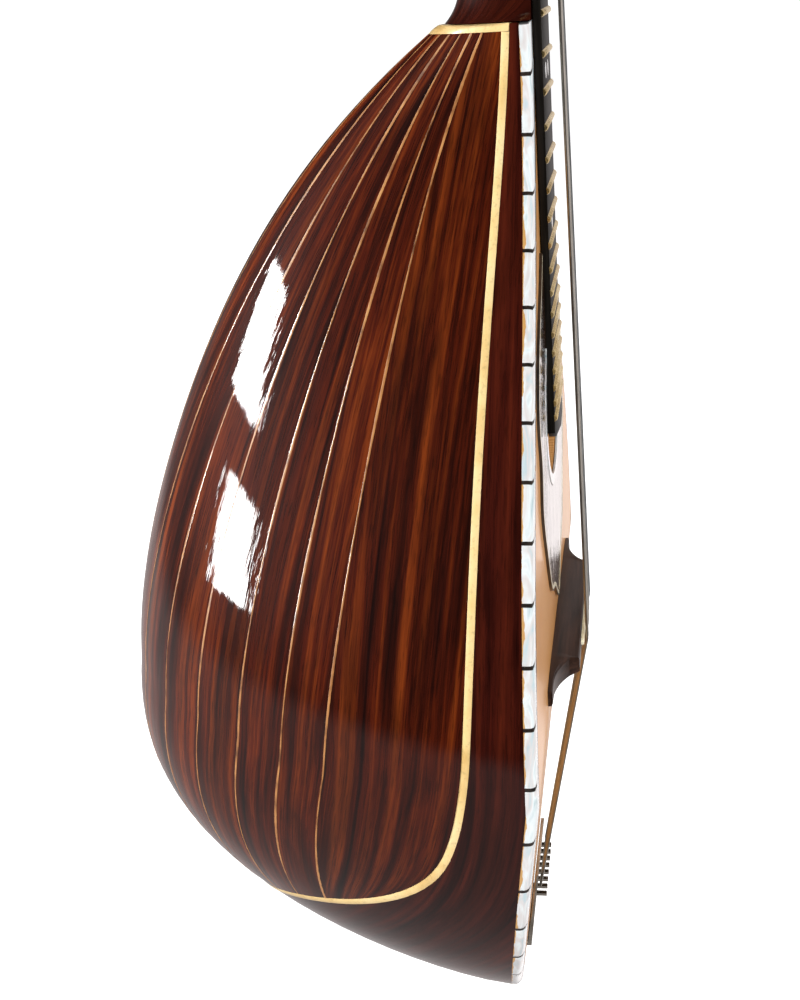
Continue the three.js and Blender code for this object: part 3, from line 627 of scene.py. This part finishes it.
ROSEWOOD = varnished_wood("rosewood", (0.010, 0.0012, 0.0007), (0.062, 0.0070, 0.0016),
                          (0.19, 0.033, 0.0045))
BAND_WOOD = varnished_wood("band_wood", (0.008, 0.0012, 0.0008), (0.030, 0.0036, 0.0018),
                           (0.062, 0.0085, 0.0032), 0.8, 0.4, 0.3)
NECK_WOOD = varnished_wood("neck_wood", (0.012, 0.0018, 0.0012), (0.036, 0.0048, 0.0022),
                           (0.075, 0.0110, 0.0040), 0.8, 0.4, 0.2)
CREAM = cream_line()
JOINT = rib_joint()
PEARL = pearl("pearl", True)
INLAY = pearl("pearl_inlay", False)
BLACK = separator_black()
SPRUCE = spruce()
GUARD = guard_plate()
EBONY = satin_wood("ebony", (0.003, 0.0025, 0.002), (0.012, 0.010, 0.008), (900, 900, 40), 0.5, 0.0, 0.1)
BRIDGE_WOOD = satin_wood("bridge_wood", (0.012, 0.006, 0.004), (0.055, 0.026, 0.017), (40, 700, 900),
                         0.42, 0.05, 0.2)
INNER_WOOD = satin_wood("inner_wood", (0.42, 0.26, 0.13), (0.66, 0.48, 0.28), (500, 500, 30), 0.8, 0.0, 0.5)
BONE = bone()
NICKEL = metal("nickel", (0.34, 0.30, 0.24), (0.78, 0.76, 0.70), 0.2)
BRASS = metal("brass", (0.30, 0.17, 0.06), (0.74, 0.52, 0.22), 0.26)
FRET_METAL = metal("fret_metal", (0.62, 0.42, 0.13), (0.95, 0.78, 0.38), 0.25)
STEEL = metal("string_steel", (0.20, 0.22, 0.22), (0.50, 0.53, 0.54), 0.3, (900, 900, 60))
WOUND = wound_string()
BUTTON = plastic_button()


# ---- Ribs, light lines and bands
def strip_grain(rings, seed):
    """Grain places for a strip of rings: across in metres, along in metres, and the piece's own number."""
    half = len(rings[0]) // 2
    along, grains = 0.0, []
    for r, ring in enumerate(rings):
        if r:
            along += (ring[half // 2] - rings[r - 1][half // 2]).length
        across = running_lengths(ring[:half])
        middle = across[-1] / 2
        outer = [((a - middle) / 1000, along / 1000, seed) for a in across]
        grains.append(outer + outer[::-1])
    return grains


def narrow_rib(number):
    ends = rib_end(number), rib_end(number + 1)
    rings = []
    for s in steps(56):
        outer = []
        for r in steps(6):
            end = ends[0] + (ends[1] - ends[0]) * r
            share = RIB_START + (end - RIB_START) * s
            outer.append(rib_point(number + r, share))
        inward = (outer[-1] - outer[0]).normalized() * JOINT_HALF
        outer[0] += inward
        outer[-1] -= inward
        rings.append(shell_ring(outer))
    return rings


def joint_strip(edge):
    """A thin light line of uneven width in the gap beside a rib."""
    rings = []
    end = rib_end(edge)
    for s in steps(60):
        share = RIB_START + (end - RIB_START) * s
        point = rib_point(edge, share)
        ahead = rib_point(edge, share + 0.003) - rib_point(edge, share - 0.003)
        normal = bowl_normal(point)
        unevenness = 0.72 + 0.28 * math.sin(edge * 2.1 + share * 26)
        side = ahead.cross(normal).normalized() * (JOINT_HALF + 0.12) * unevenness
        top = [point - side, point + normal * 0.06, point + side]
        rings.append(top + [p - normal for p in reversed(top)])
    return rings


def wide_rib():
    """A four-sided patch: the light line on two sides, then the first rib line and the strip at the heel."""
    corner_place = 0.62
    end_share = rib_end(0)
    clearance = LINE_WIDTH / 2 + 0.1
    end_point = rib_point(0, end_share)

    def past(place):
        point = line_point(place, clearance)
        return point.y - edge_y(-point.z) > end_point.y - edge_y(-end_point.z)

    last_place = bisect(past, corner_place, 0.95)

    def on_surface(point):
        share = share_at(-point.z)
        behind = max(0, point.y - edge_y(-point.z)) / bowl_depth(share)
        return share, math.asin(min(1, behind) ** (BACK_POWER / 2))

    def line(place):
        return on_surface(line_point(place, clearance, BEHIND_STRIP))

    def edge(s):
        share = RIB_START + (end_share - RIB_START) * s
        return share, rib_angle(0, share)

    low, high, low_end, high_end = line(0), edge(0), line(corner_place), edge(1)
    rings = []
    for s in steps(72):
        a, b = line(corner_place * s), edge(s)
        outer = []
        for r in steps(14):
            c = [low[k] + (high[k] - low[k]) * r for k in (0, 1)]
            d = high_end if r == 1 else line(corner_place + (last_place - corner_place) * r)
            share, angle = (
                (1 - r) * a[k] + r * b[k] + (1 - s) * c[k] + s * d[k]
                - ((1 - s) * (1 - r) * low[k] + s * (1 - r) * low_end[k]
                   + (1 - s) * r * high[k] + s * r * high_end[k])
                for k in (0, 1)
            )
            outer.append(bowl_point(share, angle))
        outer[-1] += (outer[-2] - outer[-1]).normalized() * JOINT_HALF
        rings.append(shell_ring(outer))
    return rings


def build_ribs():
    ribs = {}
    for number in range(RIB_COUNT):
        ribs[f"rib_{number + 1:02d}"] = narrow_rib(number), number * 1.7 + 0.35
    rings = wide_rib()
    ribs["wide_rib_bass"] = rings, 31.2
    ribs["wide_rib_treble"] = [[flip(p) for p in ring] for ring in rings], 32.2
    for node, (rings, seed) in ribs.items():
        lofted(f"fine_{node}", [rings], ROSEWOOD, [strip_grain(rings, seed)], nodes=[node])
    joints = [joint_strip(edge) for edge in range(RIB_COUNT + 1)]
    lofted("rib_joint_lines", joints, JOINT, slot="light_line")


def build_band():
    band = []
    for place in steps(90):
        top = line_point(place, -LINE_WIDTH / 2 - 0.02)
        where = where_of(top)
        behind = top.y - edge_y(-top.z)
        outer = [top if s == 1 else band_point(*where, behind * s) for s in steps(10)]
        ring = shell_ring(outer)
        ring[-1].y = edge_y(-ring[-1].z)
        band.append(ring)
    band = around_tail(band)
    lofted("fine_rim_band", [band], BAND_WOOD, [strip_grain(band, 55.5)], nodes=["rim_band"])


def build_light_line():
    line = []
    profile = ((-0.5, 0.0), (-0.32, 0.12), (0, 0.16), (0.32, 0.12), (0.5, 0.0))
    for place in steps(110):
        outer = []
        for shift, lift in profile:
            outer.append(raised(line_point(place, LINE_WIDTH * shift, STRIP_DOWN[1] + 0.1), lift))
        line.append(shell_ring(outer, LINE_BURIED))
    lofted("fine_light_line", [around_tail(line)], CREAM, nodes=["light_line"])


def build_heel_strip():
    first = line_point(0, -LINE_WIDTH / 2)
    share = share_at(STRIP_DOWN[0])
    start = math.asin(((first.y - edge_y(-first.z)) / bowl_depth(share)) ** (BACK_POWER / 2))
    strip = []
    for angle in steps(80, start, math.pi - start):
        outer = [bowl_point(share_at(down), angle) for down in steps(3, *STRIP_DOWN)]
        outer[1:3] = [raised(p, 0.16) for p in outer[1:3]]
        strip.append(shell_ring(outer, LINE_BURIED))
    lofted("fine_heel_strip", [strip], CREAM, nodes=["heel_strip"])


# ---- The rim seen from the front: edging blocks, soundboard, guard plate
def rim_plan(place):
    def at(p):
        return band_point(*rim_place(min(1, max(0, p))), 0)

    point = at(place)
    along = Vector((1, 0, 0)) if place > 0.997 else (at(place + 0.003) - at(place - 0.003)).normalized()
    inward = Vector((-along.z, 0, along.x))
    return point, -inward if inward.x < -0.01 else inward


def rim_track():
    """Points with inward directions, and lengths, along the rim from the bass side's heel round the tail."""
    half = [rim_plan(place) for place in steps(240, 0.0005, 1.0)]
    track = half + [(flip(p), flip(d)) for p, d in reversed(half[:-1])]
    return track, running_lengths([point for point, _ in track])


TRACK, TRACK_LENGTHS = rim_track()


def track_at(length):
    i = next((k for k in range(1, len(TRACK_LENGTHS)) if TRACK_LENGTHS[k] >= length), len(TRACK) - 1)
    between = (length - TRACK_LENGTHS[i - 1]) / (TRACK_LENGTHS[i] - TRACK_LENGTHS[i - 1])
    point = TRACK[i - 1][0].lerp(TRACK[i][0], between)
    return point, TRACK[i - 1][1].lerp(TRACK[i][1], between).normalized()


def skewed(length, across):
    """The joints between blocks lean towards the heel as they cross the front face."""
    total = TRACK_LENGTHS[-1]
    lean = min(1.15 * max(0, across - 0.8), length, total - length)
    return length - lean if length < total / 2 else length + lean


def edging_ring(length, section):
    ring = []
    for across, behind in section:
        point, inward = track_at(skewed(length, across))
        corner = point + inward * across
        corner.y = edge_y(-corner.z) + behind
        ring.append(corner)
    return ring


def edging_section(shrink=0.0):
    """From the wood's edge forward, over a rounded shoulder and inward to the soundboard."""
    front = -EDGE_DROP + shrink
    shoulder = [(shrink + across, behind) for across, behind in (
        (0, -0.02), (0, -0.7), (0, -1.35), (0.25, -2.1), (0.8, -2.65), (1.6, front + 0.12))]
    return shoulder + [(2.8, front), (4.0, front), (EDGING_WIDTH, front), (EDGING_WIDTH, -0.3)]


def build_edging():
    total = TRACK_LENGTHS[-1]
    middle = total / 2
    count = int((middle - FIRST_SEPARATOR) / BLOCK_PITCH)
    joints = [FIRST_SEPARATOR + BLOCK_PITCH * k for k in range(count + 1)]
    joints += [total - joint for joint in reversed(joints)]
    edges = [0.2, *joints, total - 0.2]
    widths = running_lengths([Vector(corner) for corner in edging_section()])
    blocks, grains = [], []
    for number, (start, end) in enumerate(zip(edges, edges[1:])):
        first, last = start + SEPARATOR / 2, end - SEPARATOR / 2
        lengths = [first, first + 0.25, *steps(7, first + 1.2, last - 1.2), last - 0.25, last]
        rings = []
        for k, length in enumerate(lengths):
            shrink = 0.12 if k in (0, len(lengths) - 1) else 0.0
            rings.append(edging_ring(length, edging_section(shrink)))
        blocks.append(rings)
        grains.append([[(w / 1000, length / 1000, number * 0.9) for w in widths] for length in lengths])
    lofted("pearl_blocks", blocks, PEARL, grains, nodes=["pearl_edging"])
    separators = []
    for joint in joints:
        lengths = (joint - SEPARATOR / 2 - 0.2, joint + SEPARATOR / 2 + 0.2)
        separators.append([edging_ring(length, edging_section(0.05)) for length in lengths])
    lofted("edging_separators", separators, BLACK, slot="ebony")
    inner, outer = EDGING_WIDTH - 0.02, EDGING_WIDTH + 0.55
    front, back = -EDGE_DROP - 0.03, -EDGE_DROP + 0.6
    section = [(inner, front), (outer, front), (outer, back), (inner, back)]
    line = [edging_ring(length, section) for length in steps(200, 0.5, total - 0.5)]
    lofted("edging_inner_line", [line], BLACK, slot="ebony")


def inset_outline(clearance):
    """(down, half width) of the soundboard's outline, from the heel to the tail."""
    places = []
    for point, inward in TRACK[: len(TRACK) // 2 + 1]:
        corner = point + inward * clearance
        if corner.x < -0.4 and (not places or -corner.z > places[-1][0] + 0.2):
            places.append((-corner.z, -corner.x))
    return places


def value_at(table, down):
    if down <= table[0][0]:
        return table[0][1]
    for (a, wide_a), (b, wide_b) in zip(table, table[1:]):
        if down <= b:
            return wide_a + (wide_b - wide_a) * (down - a) / (b - a)
    return table[-1][1]


def oval_half(down, grow=0.0):
    middle, wide, high = HOLE
    rise = 1 - ((down - middle) / (high + grow)) ** 2
    return (wide + grow) * math.sqrt(rise) if rise > 0 else 0.0


def cosine_steps(count, low, high):
    return [(low + high) / 2 - (high - low) / 2 * math.cos(math.pi * k) for k in steps(count)]


def flat_halves(downs, inner, outer, front, back, count):
    """Two mirrored plates between an inner and an outer outline, as rings for a loft."""
    halves = []
    for side in (-1, 1):
        rings = []
        for down in downs:
            a, b = inner(down, side), max(outer(down), inner(down, side) + 0.05)
            xs = [side * (a + (b - a) * s) for s in steps(count)]
            near = [Vector((x, front(down), -down)) for x in xs]
            far = [Vector((x, back(down), -down)) for x in reversed(xs)]
            rings.append(near + far)
        halves.append(rings)
    return halves


def build_soundboard():
    table = inset_outline(EDGING_WIDTH - 0.03)
    top, bottom = HOLE[0] - HOLE[2], HOLE[0] + HOLE[2]
    downs = steps(24, 146.3, top - 0.5) + cosine_steps(30, top, bottom) + steps(16, bottom + 0.5, BEND_DOWN)
    downs += [down for down, _ in table if down > BEND_DOWN + 1]
    bend_half = 5

    def front(down):
        """The bend is a short curve, not a corner."""
        past = down - BEND_DOWN
        if abs(past) < bend_half:
            return BOARD_Y + BEND_SLOPE * (past + bend_half) ** 2 / (4 * bend_half)
        return board_y(down)

    halves = flat_halves(downs, lambda d, _: oval_half(d) if top < d < bottom else 0.0,
                         lambda d: value_at(table, d), front, lambda d: front(d) + BOARD_THICKNESS, 10)
    lofted("fine_soundboard", halves, SPRUCE, nodes=["soundboard"])


# The guard plate's edge on one side, as (down, half width).
GUARD_SIDE = ((208, 22), (216, 30), (224, 41), (233, 50), (242, 55), (249, 55.5), (260, 52), (271, 54),
              (279, 51), (288, 44.5), (298, 37.5), (306, 30), (311, 17), (318, 7), (321, 0.6))


def finger_half(down):
    """Half the fingerboard's width."""
    return 14 + 7.5 * down / SADDLE_DOWN


def build_guard_plate():
    table = [smooth_through(GUARD_SIDE, s) for s in steps(120)]
    ring_grow = 4.2
    hole_end = HOLE[0] + HOLE[2] + ring_grow

    def inner(down, side):
        past_board = down >= FINGERBOARD_ENDS[side > 0] + 1
        return max(0.0 if past_board else finger_half(down) + 0.2, oval_half(down, ring_grow))

    downs = steps(40, 208.4, hole_end - 1) + steps(12, hole_end - 1, hole_end) + steps(16, hole_end, 320.6)
    plate = flat_halves(sorted(set(downs)), inner, lambda d: value_at(table, d), lambda d: BOARD_Y - 0.75,
                        lambda d: BOARD_Y - 0.02, 8)
    lofted("fine_guard_plate", plate, GUARD, nodes=["pickguard"])
    build_guard_border("guard_border", -0.9, 0.3, BONE)
    build_guard_border("guard_border_line", 0.3, 0.8, BLACK)


def build_guard_border(name, low, high, material):
    """A strip along the plate's edge, from low inside it to high outside it."""
    parts = []
    for side in (-1, 1):
        rings = []
        for s in steps(110, 0.0, 0.985):
            down, wide = smooth_through(GUARD_SIDE, s)
            ahead = smooth_through(GUARD_SIDE, min(1, s + 0.004))
            along = Vector((ahead[1] - wide, 0, down - ahead[0])).normalized()
            ring = []
            for shift, y in ((low, -0.82), (high, -0.82), (high, -0.02), (low, -0.02)):
                x, z = wide - along.z * shift, -down + along.x * shift
                ring.append(Vector((side * x, BOARD_Y + y, z)))
            rings.append(ring)
        parts.append(rings)
    lofted(name, parts, material, slot="guard_plate")


# ---- Neck, fingerboard and frets
def build_neck():
    """The neck's round back, widening into the heel where it meets the bowl."""
    heel_start, heel_end = 134, 146.1
    rings = []
    for down in steps(50, -5, 132) + steps(24, 133, heel_end):
        flare = max(0, (down - heel_start) / (heel_end - heel_start)) ** 3
        wide = finger_half(down) + flare * (HALF_WIDTHS[0] - finger_half(146)) + 0.02
        depth = 13 + 8.5 * (max(0, down) / 146) ** 1.4 + flare * 3.7
        ring = []
        for angle in steps(28, 0, math.pi):
            across = math.cos(angle)
            x = -wide * math.copysign(abs(across) ** 0.85, across)
            ring.append(Vector((x, BOARD_Y + depth * math.sin(angle) ** 0.9, -down)))
        rings.append(ring)
    grains = [[(p.x / 1000 + 0.5 * p.y / 1000, p.z / 1000, 77.1) for p in ring] for ring in rings]
    lofted("fine_neck", [rings], NECK_WOOD, [grains], sharp=50, slot="neck_wood")


def in_head(x, y, z):
    """A place in the head's own frame: y goes back from its front face and z up along it."""
    tilt = Matrix.Rotation(-HEAD_TILT, 3, "X")
    return tilt @ Vector((x, y, z)) + Vector((0, BOARD_Y, HEAD_UP))


# The head's outline on one side, as (half width, up).
HEAD_SIDE = ((14.5, 0), (15.5, 5), (21, 10), (29, 15), (30, 24), (28.5, 50), (29.5, 80), (31, 98), (27, 103),
             (25.5, 109), (21, 114), (17, 113), (13, 118), (7, 125), (0, 128))


def head_plate(name, low, high, start, node):
    """A plate with the head's outline and bevelled edges, between two depths and from start upward."""
    bevel = min(0.8, (high - low) * 0.3)
    rings = []
    height = start
    for s in steps(110):
        x, z = smooth_through(HEAD_SIDE, s)
        x, height = max(0.02, x), max(z, height)
        narrow = x * max(0.0, 1 - bevel / max(x, 1))
        corners = [(narrow, low), (x, low + bevel), (x, high - bevel), (narrow, high)]
        row = [(-narrow, low), *corners, *((-px, y) for px, y in reversed(corners[1:]))]
        rings.append([in_head(px, y, height) for px, y in row])
    kept = [rings[0]]
    kept += [ring for before, ring in zip(rings, rings[1:]) if (ring[2] - before[2]).length > 0.01]
    grains = [[(p.x / 1000, p.z / 1000, 81.3) for p in ring] for ring in kept]
    lofted(name, [kept], NECK_WOOD, [grains], nodes=[node])


def fret_down(number):
    return SCALE * (1 - 2 ** (-number / 12))


def build_frets():
    profile = ((-1, 0.25), (-0.95, -0.25), (-0.6, -0.7), (0, -0.9), (0.6, -0.7), (0.95, -0.25), (1, 0.25))
    frets = []
    for number in range(1, FRETS + 1):
        wide = finger_half(fret_down(number)) - 0.1
        rings = []
        for x, low in ((-wide - 0.05, 0.25), (-wide + 0.5, 0.0), (wide - 0.5, 0.0), (wide + 0.05, 0.25)):
            ring = [(FINGERBOARD_TOP + y + (low if y < 0 else 0), z - fret_down(number)) for z, y in profile]
            rings.append([Vector((x, y, z)) for y, z in ring])
        frets.append(rings)
    lofted("frets", frets, FRET_METAL, slot="brass", sharp=60)


def build_dots():
    radius = 2.2
    dots = []
    for number, spots in ((5, (0,)), (7, (0,)), (10, (0,)), (12, (-5, 5)), (17, (0,))):
        middle = (fret_down(number - 1) + fret_down(number)) / 2
        for spot in spots:
            rings = []
            for y in (FINGERBOARD_TOP + 0.5, FINGERBOARD_TOP - 0.06):
                rings.append([Vector((spot + x, y, z - middle)) for x, z in circle(24, radius)])
            dots.append(rings)
    lofted("position_dots", dots, INLAY, slot="pearl")


# ---- Bridge
def build_bridge():
    """A low wooden bridge: a stepped block between two hollowed, tapering feet."""
    foot = BRIDGE_HALF - BRIDGE_BLOCK_HALF
    rings = []
    for s in steps(90, -1, 1):
        x = BRIDGE_HALF * math.copysign(abs(s) ** 0.9, s)
        beyond = max(0, abs(x) - BRIDGE_BLOCK_HALF) / foot
        height, width, upper = 8.0, 3.5, 2.4
        if beyond:
            height = 1.1 + 5.2 * (1 - min(1, beyond * 1.25)) ** 2.2
            width = 3.5 - 1.1 * beyond ** 2
            upper = width - 0.4
        low, top = BOARD_Y - 0.03, BOARD_Y - 0.3 - height
        lip = BOARD_Y - 0.3 - min(2.4, height * 0.6)
        half = [(low, width), (lip, width), ((lip + top) / 2, upper + 0.35), (top + 0.4, upper),
                (top, upper - 0.4)]
        section = [(y, -z) for y, z in half] + half[::-1]
        rings.append([Vector((x, y, z - SADDLE_DOWN - 0.5)) for y, z in section])
    lofted("fine_bridge", [rings], BRIDGE_WOOD, sharp=35, nodes=["bridge"])


# ---- Pieces refined from the CAD solids: welded, cleaned and with their edges rounded
def refined(node, material, bevel=0.0, sharp=35, body=ROOT):
    mesh = frame["nodes"][node].data.copy()
    work = bmesh.new()
    work.from_mesh(mesh)
    bmesh.ops.remove_doubles(work, verts=work.verts, dist=2e-6)
    bmesh.ops.dissolve_limit(work, angle_limit=math.radians(1.0), verts=work.verts, edges=work.edges)
    if bevel:
        joining = [edge for edge in work.edges if len(edge.link_faces) == 2]
        corners = [edge for edge in joining if edge.calc_face_angle() > math.radians(40)]
        bmesh.ops.bevel(work, geom=corners, offset=bevel, segments=2, profile=0.6, affect="EDGES",
                        clamp_overlap=True)
    work.to_mesh(mesh)
    work.free()
    mesh.materials.clear()
    return finished("fine_" + node, mesh, material, body, sharp, [node], None)


def screw_head(centre, axis, radius):
    side = axis.orthogonal().normalized()
    other = axis.cross(side)
    rings = []
    for height, wide in ((-0.3, 1.0), (0.25, 1.0), (0.6, 0.8), (0.78, 0.5), (0.82, 0.12)):
        middle = centre + axis * height * radius * 0.7
        rings.append([middle + side * a + other * b for a, b in circle(20, radius * wide)])
    return rings


def build_machines():
    back = in_head(0, 1, 0) - in_head(0, 0, 0)
    between_posts = [FIRST_POST_UP + POST_SPACING * k - 8 for k in (1, 2, 3)]
    screws = []
    for name, side in (("bass", -1), ("treble", 1)):
        refined(f"tuner_plate_{name}", BRASS, 0.00015)
        screws += [screw_head(in_head(side * 20.5, 15.0, z), back, 1.5) for z in (16, *between_posts, 99.5)]
    lofted("plate_screws", screws, BRASS, slot="brass")
    for name, side in (("bass", -1), ("treble", 1)):
        for i in range(4):
            label = f"{name}_{i + 1}"
            post_up = FIRST_POST_UP + POST_SPACING * i
            refined(f"post_{label}", BRASS, sharp=30, body=f"post_{label}")
            build_winding(label, side * POST_ACROSS, post_up)
            build_knob(label, side, post_up - KNOB_BELOW_POST)


def build_winding(label, post_x, post_z):
    """The string's turns on its post."""
    turns, radius = 3.5, 2.55
    rings = []
    for s in steps(84):
        angle = s * turns * 2 * math.pi
        out = Vector((math.cos(angle), 0, math.sin(angle)))
        centre = Vector((post_x, -4.6 - s * 2.4, post_z)) + out * radius
        rings.append([in_head(*(centre + out * a + Vector((0, b, 0)))) for a, b in circle(8, 0.3)])
    lofted(f"winding_{label}", [rings], STEEL, body=f"post_{label}", slot="plain_string", sharp=80)


def build_knob(label, side, z):
    """An oval button with a rounded rim, over the CAD shaft and worm."""
    node = f"knob_{label}"
    shaft = refined(node, BRASS, sharp=30, body=node)
    half_long, half_wide, half_thick = 6.95, 5.55, 2.75
    rings = []
    for k in steps(20, -math.pi / 2, math.pi / 2):
        narrow = 0.05 if abs(k) > 1.5 else 0.72 + 0.28 * math.cos(k) ** 0.6
        y = KNOB_BEHIND + half_thick * math.sin(k)
        rings.append([in_head(side * (BUTTON_ACROSS + half_wide * a), y, z + half_long * b)
                      for a, b in circle(40, narrow)])
    lofted(f"button_{label}", [rings], BUTTON, body=node, slot="button", sharp=70)


def build_fittings():
    refined("fingerboard", EBONY, 0.00025)
    refined("nut", BONE, 0.0005)
    refined("saddle", BONE, 0.0003)
    refined("tailpiece", NICKEL, 0.0002)
    tail = JOINT_DOWN + BODY_LENGTH
    screws = []
    for x, behind in ((-10, 7), (10, 7), (0, 11)):
        screws.append(screw_head(Vector((x, board_y(tail) + behind, -tail - 1.0)), Vector((0, 0, -1)), 1.7))
    lofted("tailpiece_screws", screws, NICKEL, slot="nickel")
    paint("hole_ring", INLAY)
    for node in ("neck_block", "tail_block", "brace_upper", "brace_lower", "lining"):
        paint(node, INNER_WOOD)
    for course in "gdae":
        for i in (1, 2):
            paint(f"string_{course}_{i}", WOUND if course in "gd" else STEEL)


def paint(node, material):
    for material_slot in frame["nodes"][node].material_slots:
        material_slot.material = material


# ---- Floor, light and camera
def build_floor():
    """A white floor under the object. It isn't seen in reflections, where the world takes its place."""
    half, z = 6.0, CAD_BOX[0].z - 0.02
    corners = [(-half, -half, z), (half, -half, z), (half, half, z), (-half, half, z)]
    mesh = bpy.data.meshes.new("floor")
    mesh.from_pydata(corners, [], [(0, 1, 2, 3)])
    m = Material("floor", Roughness=0.9, Emission_Color=(1, 1, 1, 1), Emission_Strength=0.95)
    speckle = m.noise(m.place(3), 3)
    m.link(m.ramp(speckle, (0.3, grey(0.5)), (0.7, grey(0.6))), "Base Color")
    mesh.materials.append(m.made)
    floor = added("floor", mesh)
    floor.visible_glossy = False
    floor.visible_diffuse = False
    floor.visible_shadow = False


def build_world():
    """A white backdrop in a dim room: paler below, behind the bowl and beyond the soundboard."""
    world = bpy.data.worlds.new("studio")
    bpy.context.scene.world = world
    world.use_nodes = True
    world.node_tree.nodes.clear()
    w = Nodes(world.node_tree)
    direction = w.node("TexCoord").outputs["Generated"]

    def between(axis, low, high):
        """0 at low and 1 at high along an axis of the viewing direction."""
        inputs = {"Value": w.part(direction, axis), "From Min": min(low, high), "From Max": max(low, high),
                  "To Min": float(low > high), "To Max": float(low < high)}
        return w.node("MapRange", inputs, interpolation_type="SMOOTHSTEP").outputs["Result"]

    below = between("Z", -0.12, -0.24)
    behind = w.calculate("MULTIPLY", between("X", 0.15, 0.7), between("Z", 0.35, -0.05))
    beyond = w.calculate("MULTIPLY", between("X", 0.3, 0.6), between("Y", 0.1, -0.1))
    total = 0.012
    for part, brightness in ((below, 0.30), (behind, 0.16), (beyond, 0.7)):
        total = w.calculate("MULTIPLY_ADD", part, brightness, total)
    soft = w.node("Background", {"Color": (1.0, 0.93, 0.92, 1), "Strength": total})
    white = w.node("Background", {"Color": (1, 1, 1, 1), "Strength": 1.1})
    seen = w.node("LightPath").outputs["Is Camera Ray"]
    mixed = w.node("MixShader", {0: seen, 1: soft.outputs[0], 2: white.outputs[0]})
    w.node("OutputWorld", {"Surface": mixed.outputs[0]})


def softbox(name, azimuth, elevation, distance, wide, high, power, turn=0.0, reflected=True):
    """A rectangular light facing the bowl from a direction measured round +Z from +X."""
    a, e = math.radians(azimuth), math.radians(elevation)
    middle = Vector((-0.04, 0.07, -0.25))
    away = Vector((math.cos(e) * math.cos(a), math.cos(e) * math.sin(a), math.sin(e)))
    data = bpy.data.lights.new(name, "AREA")
    data.shape = "RECTANGLE"
    data.size, data.size_y, data.energy = wide, high, power
    light = added(name, data)
    light.location = middle + away * distance
    light.rotation_mode = "QUATERNION"
    light.rotation_quaternion = away.to_track_quat("Z", "Y") @ Matrix.Rotation(turn, 3, "Z").to_quaternion()
    light.visible_glossy = reflected


def build_lights():
    """Two windows that show in the varnish, and four broad fills that don't."""
    softbox("window_upper", 89, 22.5, 1.6, 0.33, 0.28, 22, 0.25)
    softbox("window_lower", 97, 5.5, 1.6, 0.28, 0.38, 17, 0.1)
    for name, azimuth, elevation, distance, power in (
        ("front_fill", 195, 25, 2.4, 52), ("board_fill", 265, 30, 2.4, 40),
        ("back_fill", 60, 40, 2.4, 16), ("floor_fill", 175, -50, 2.2, 30),
    ):
        softbox(name, azimuth, elevation, distance, 1.6, 1.6, power, reflected=False)


def build_camera():
    azimuth, down_tilt, roll = math.radians(10.47), math.radians(20.59), math.radians(-4.48)
    forward = Vector((math.cos(down_tilt) * math.cos(azimuth), math.cos(down_tilt) * math.sin(azimuth),
                      -math.sin(down_tilt)))
    level = Vector((math.sin(azimuth), -math.cos(azimuth), 0))
    above = level.cross(forward)
    right = level * math.cos(roll) + above * math.sin(roll)
    top = above * math.cos(roll) - level * math.sin(roll)
    data = bpy.data.cameras.new("camera")
    data.lens, data.sensor_width = 50.07, 36
    data.clip_start, data.clip_end = 0.01, 50
    camera = added("camera", data)
    turn = Matrix((right, top, -forward)).transposed()
    camera.matrix_world = Matrix.Translation((-0.4086, -0.0397, -0.1328)) @ turn.to_4x4()
    bpy.context.scene.camera = camera


build_camera()
build_floor()
build_world()
build_lights()
bpy.context.scene.view_settings.view_transform = "Standard"
bpy.context.scene.view_settings.look = "None"

build_ribs()
build_band()
build_light_line()
build_heel_strip()
build_edging()
build_soundboard()
build_guard_plate()
build_neck()
head_plate("fine_head", 0.02, 13.5, 0.0, "neck")
head_plate("fine_head_veneer", -1.3, 0.0, 4.2, "head_veneer")
build_frets()
build_dots()
build_bridge()
build_fittings()
build_machines()
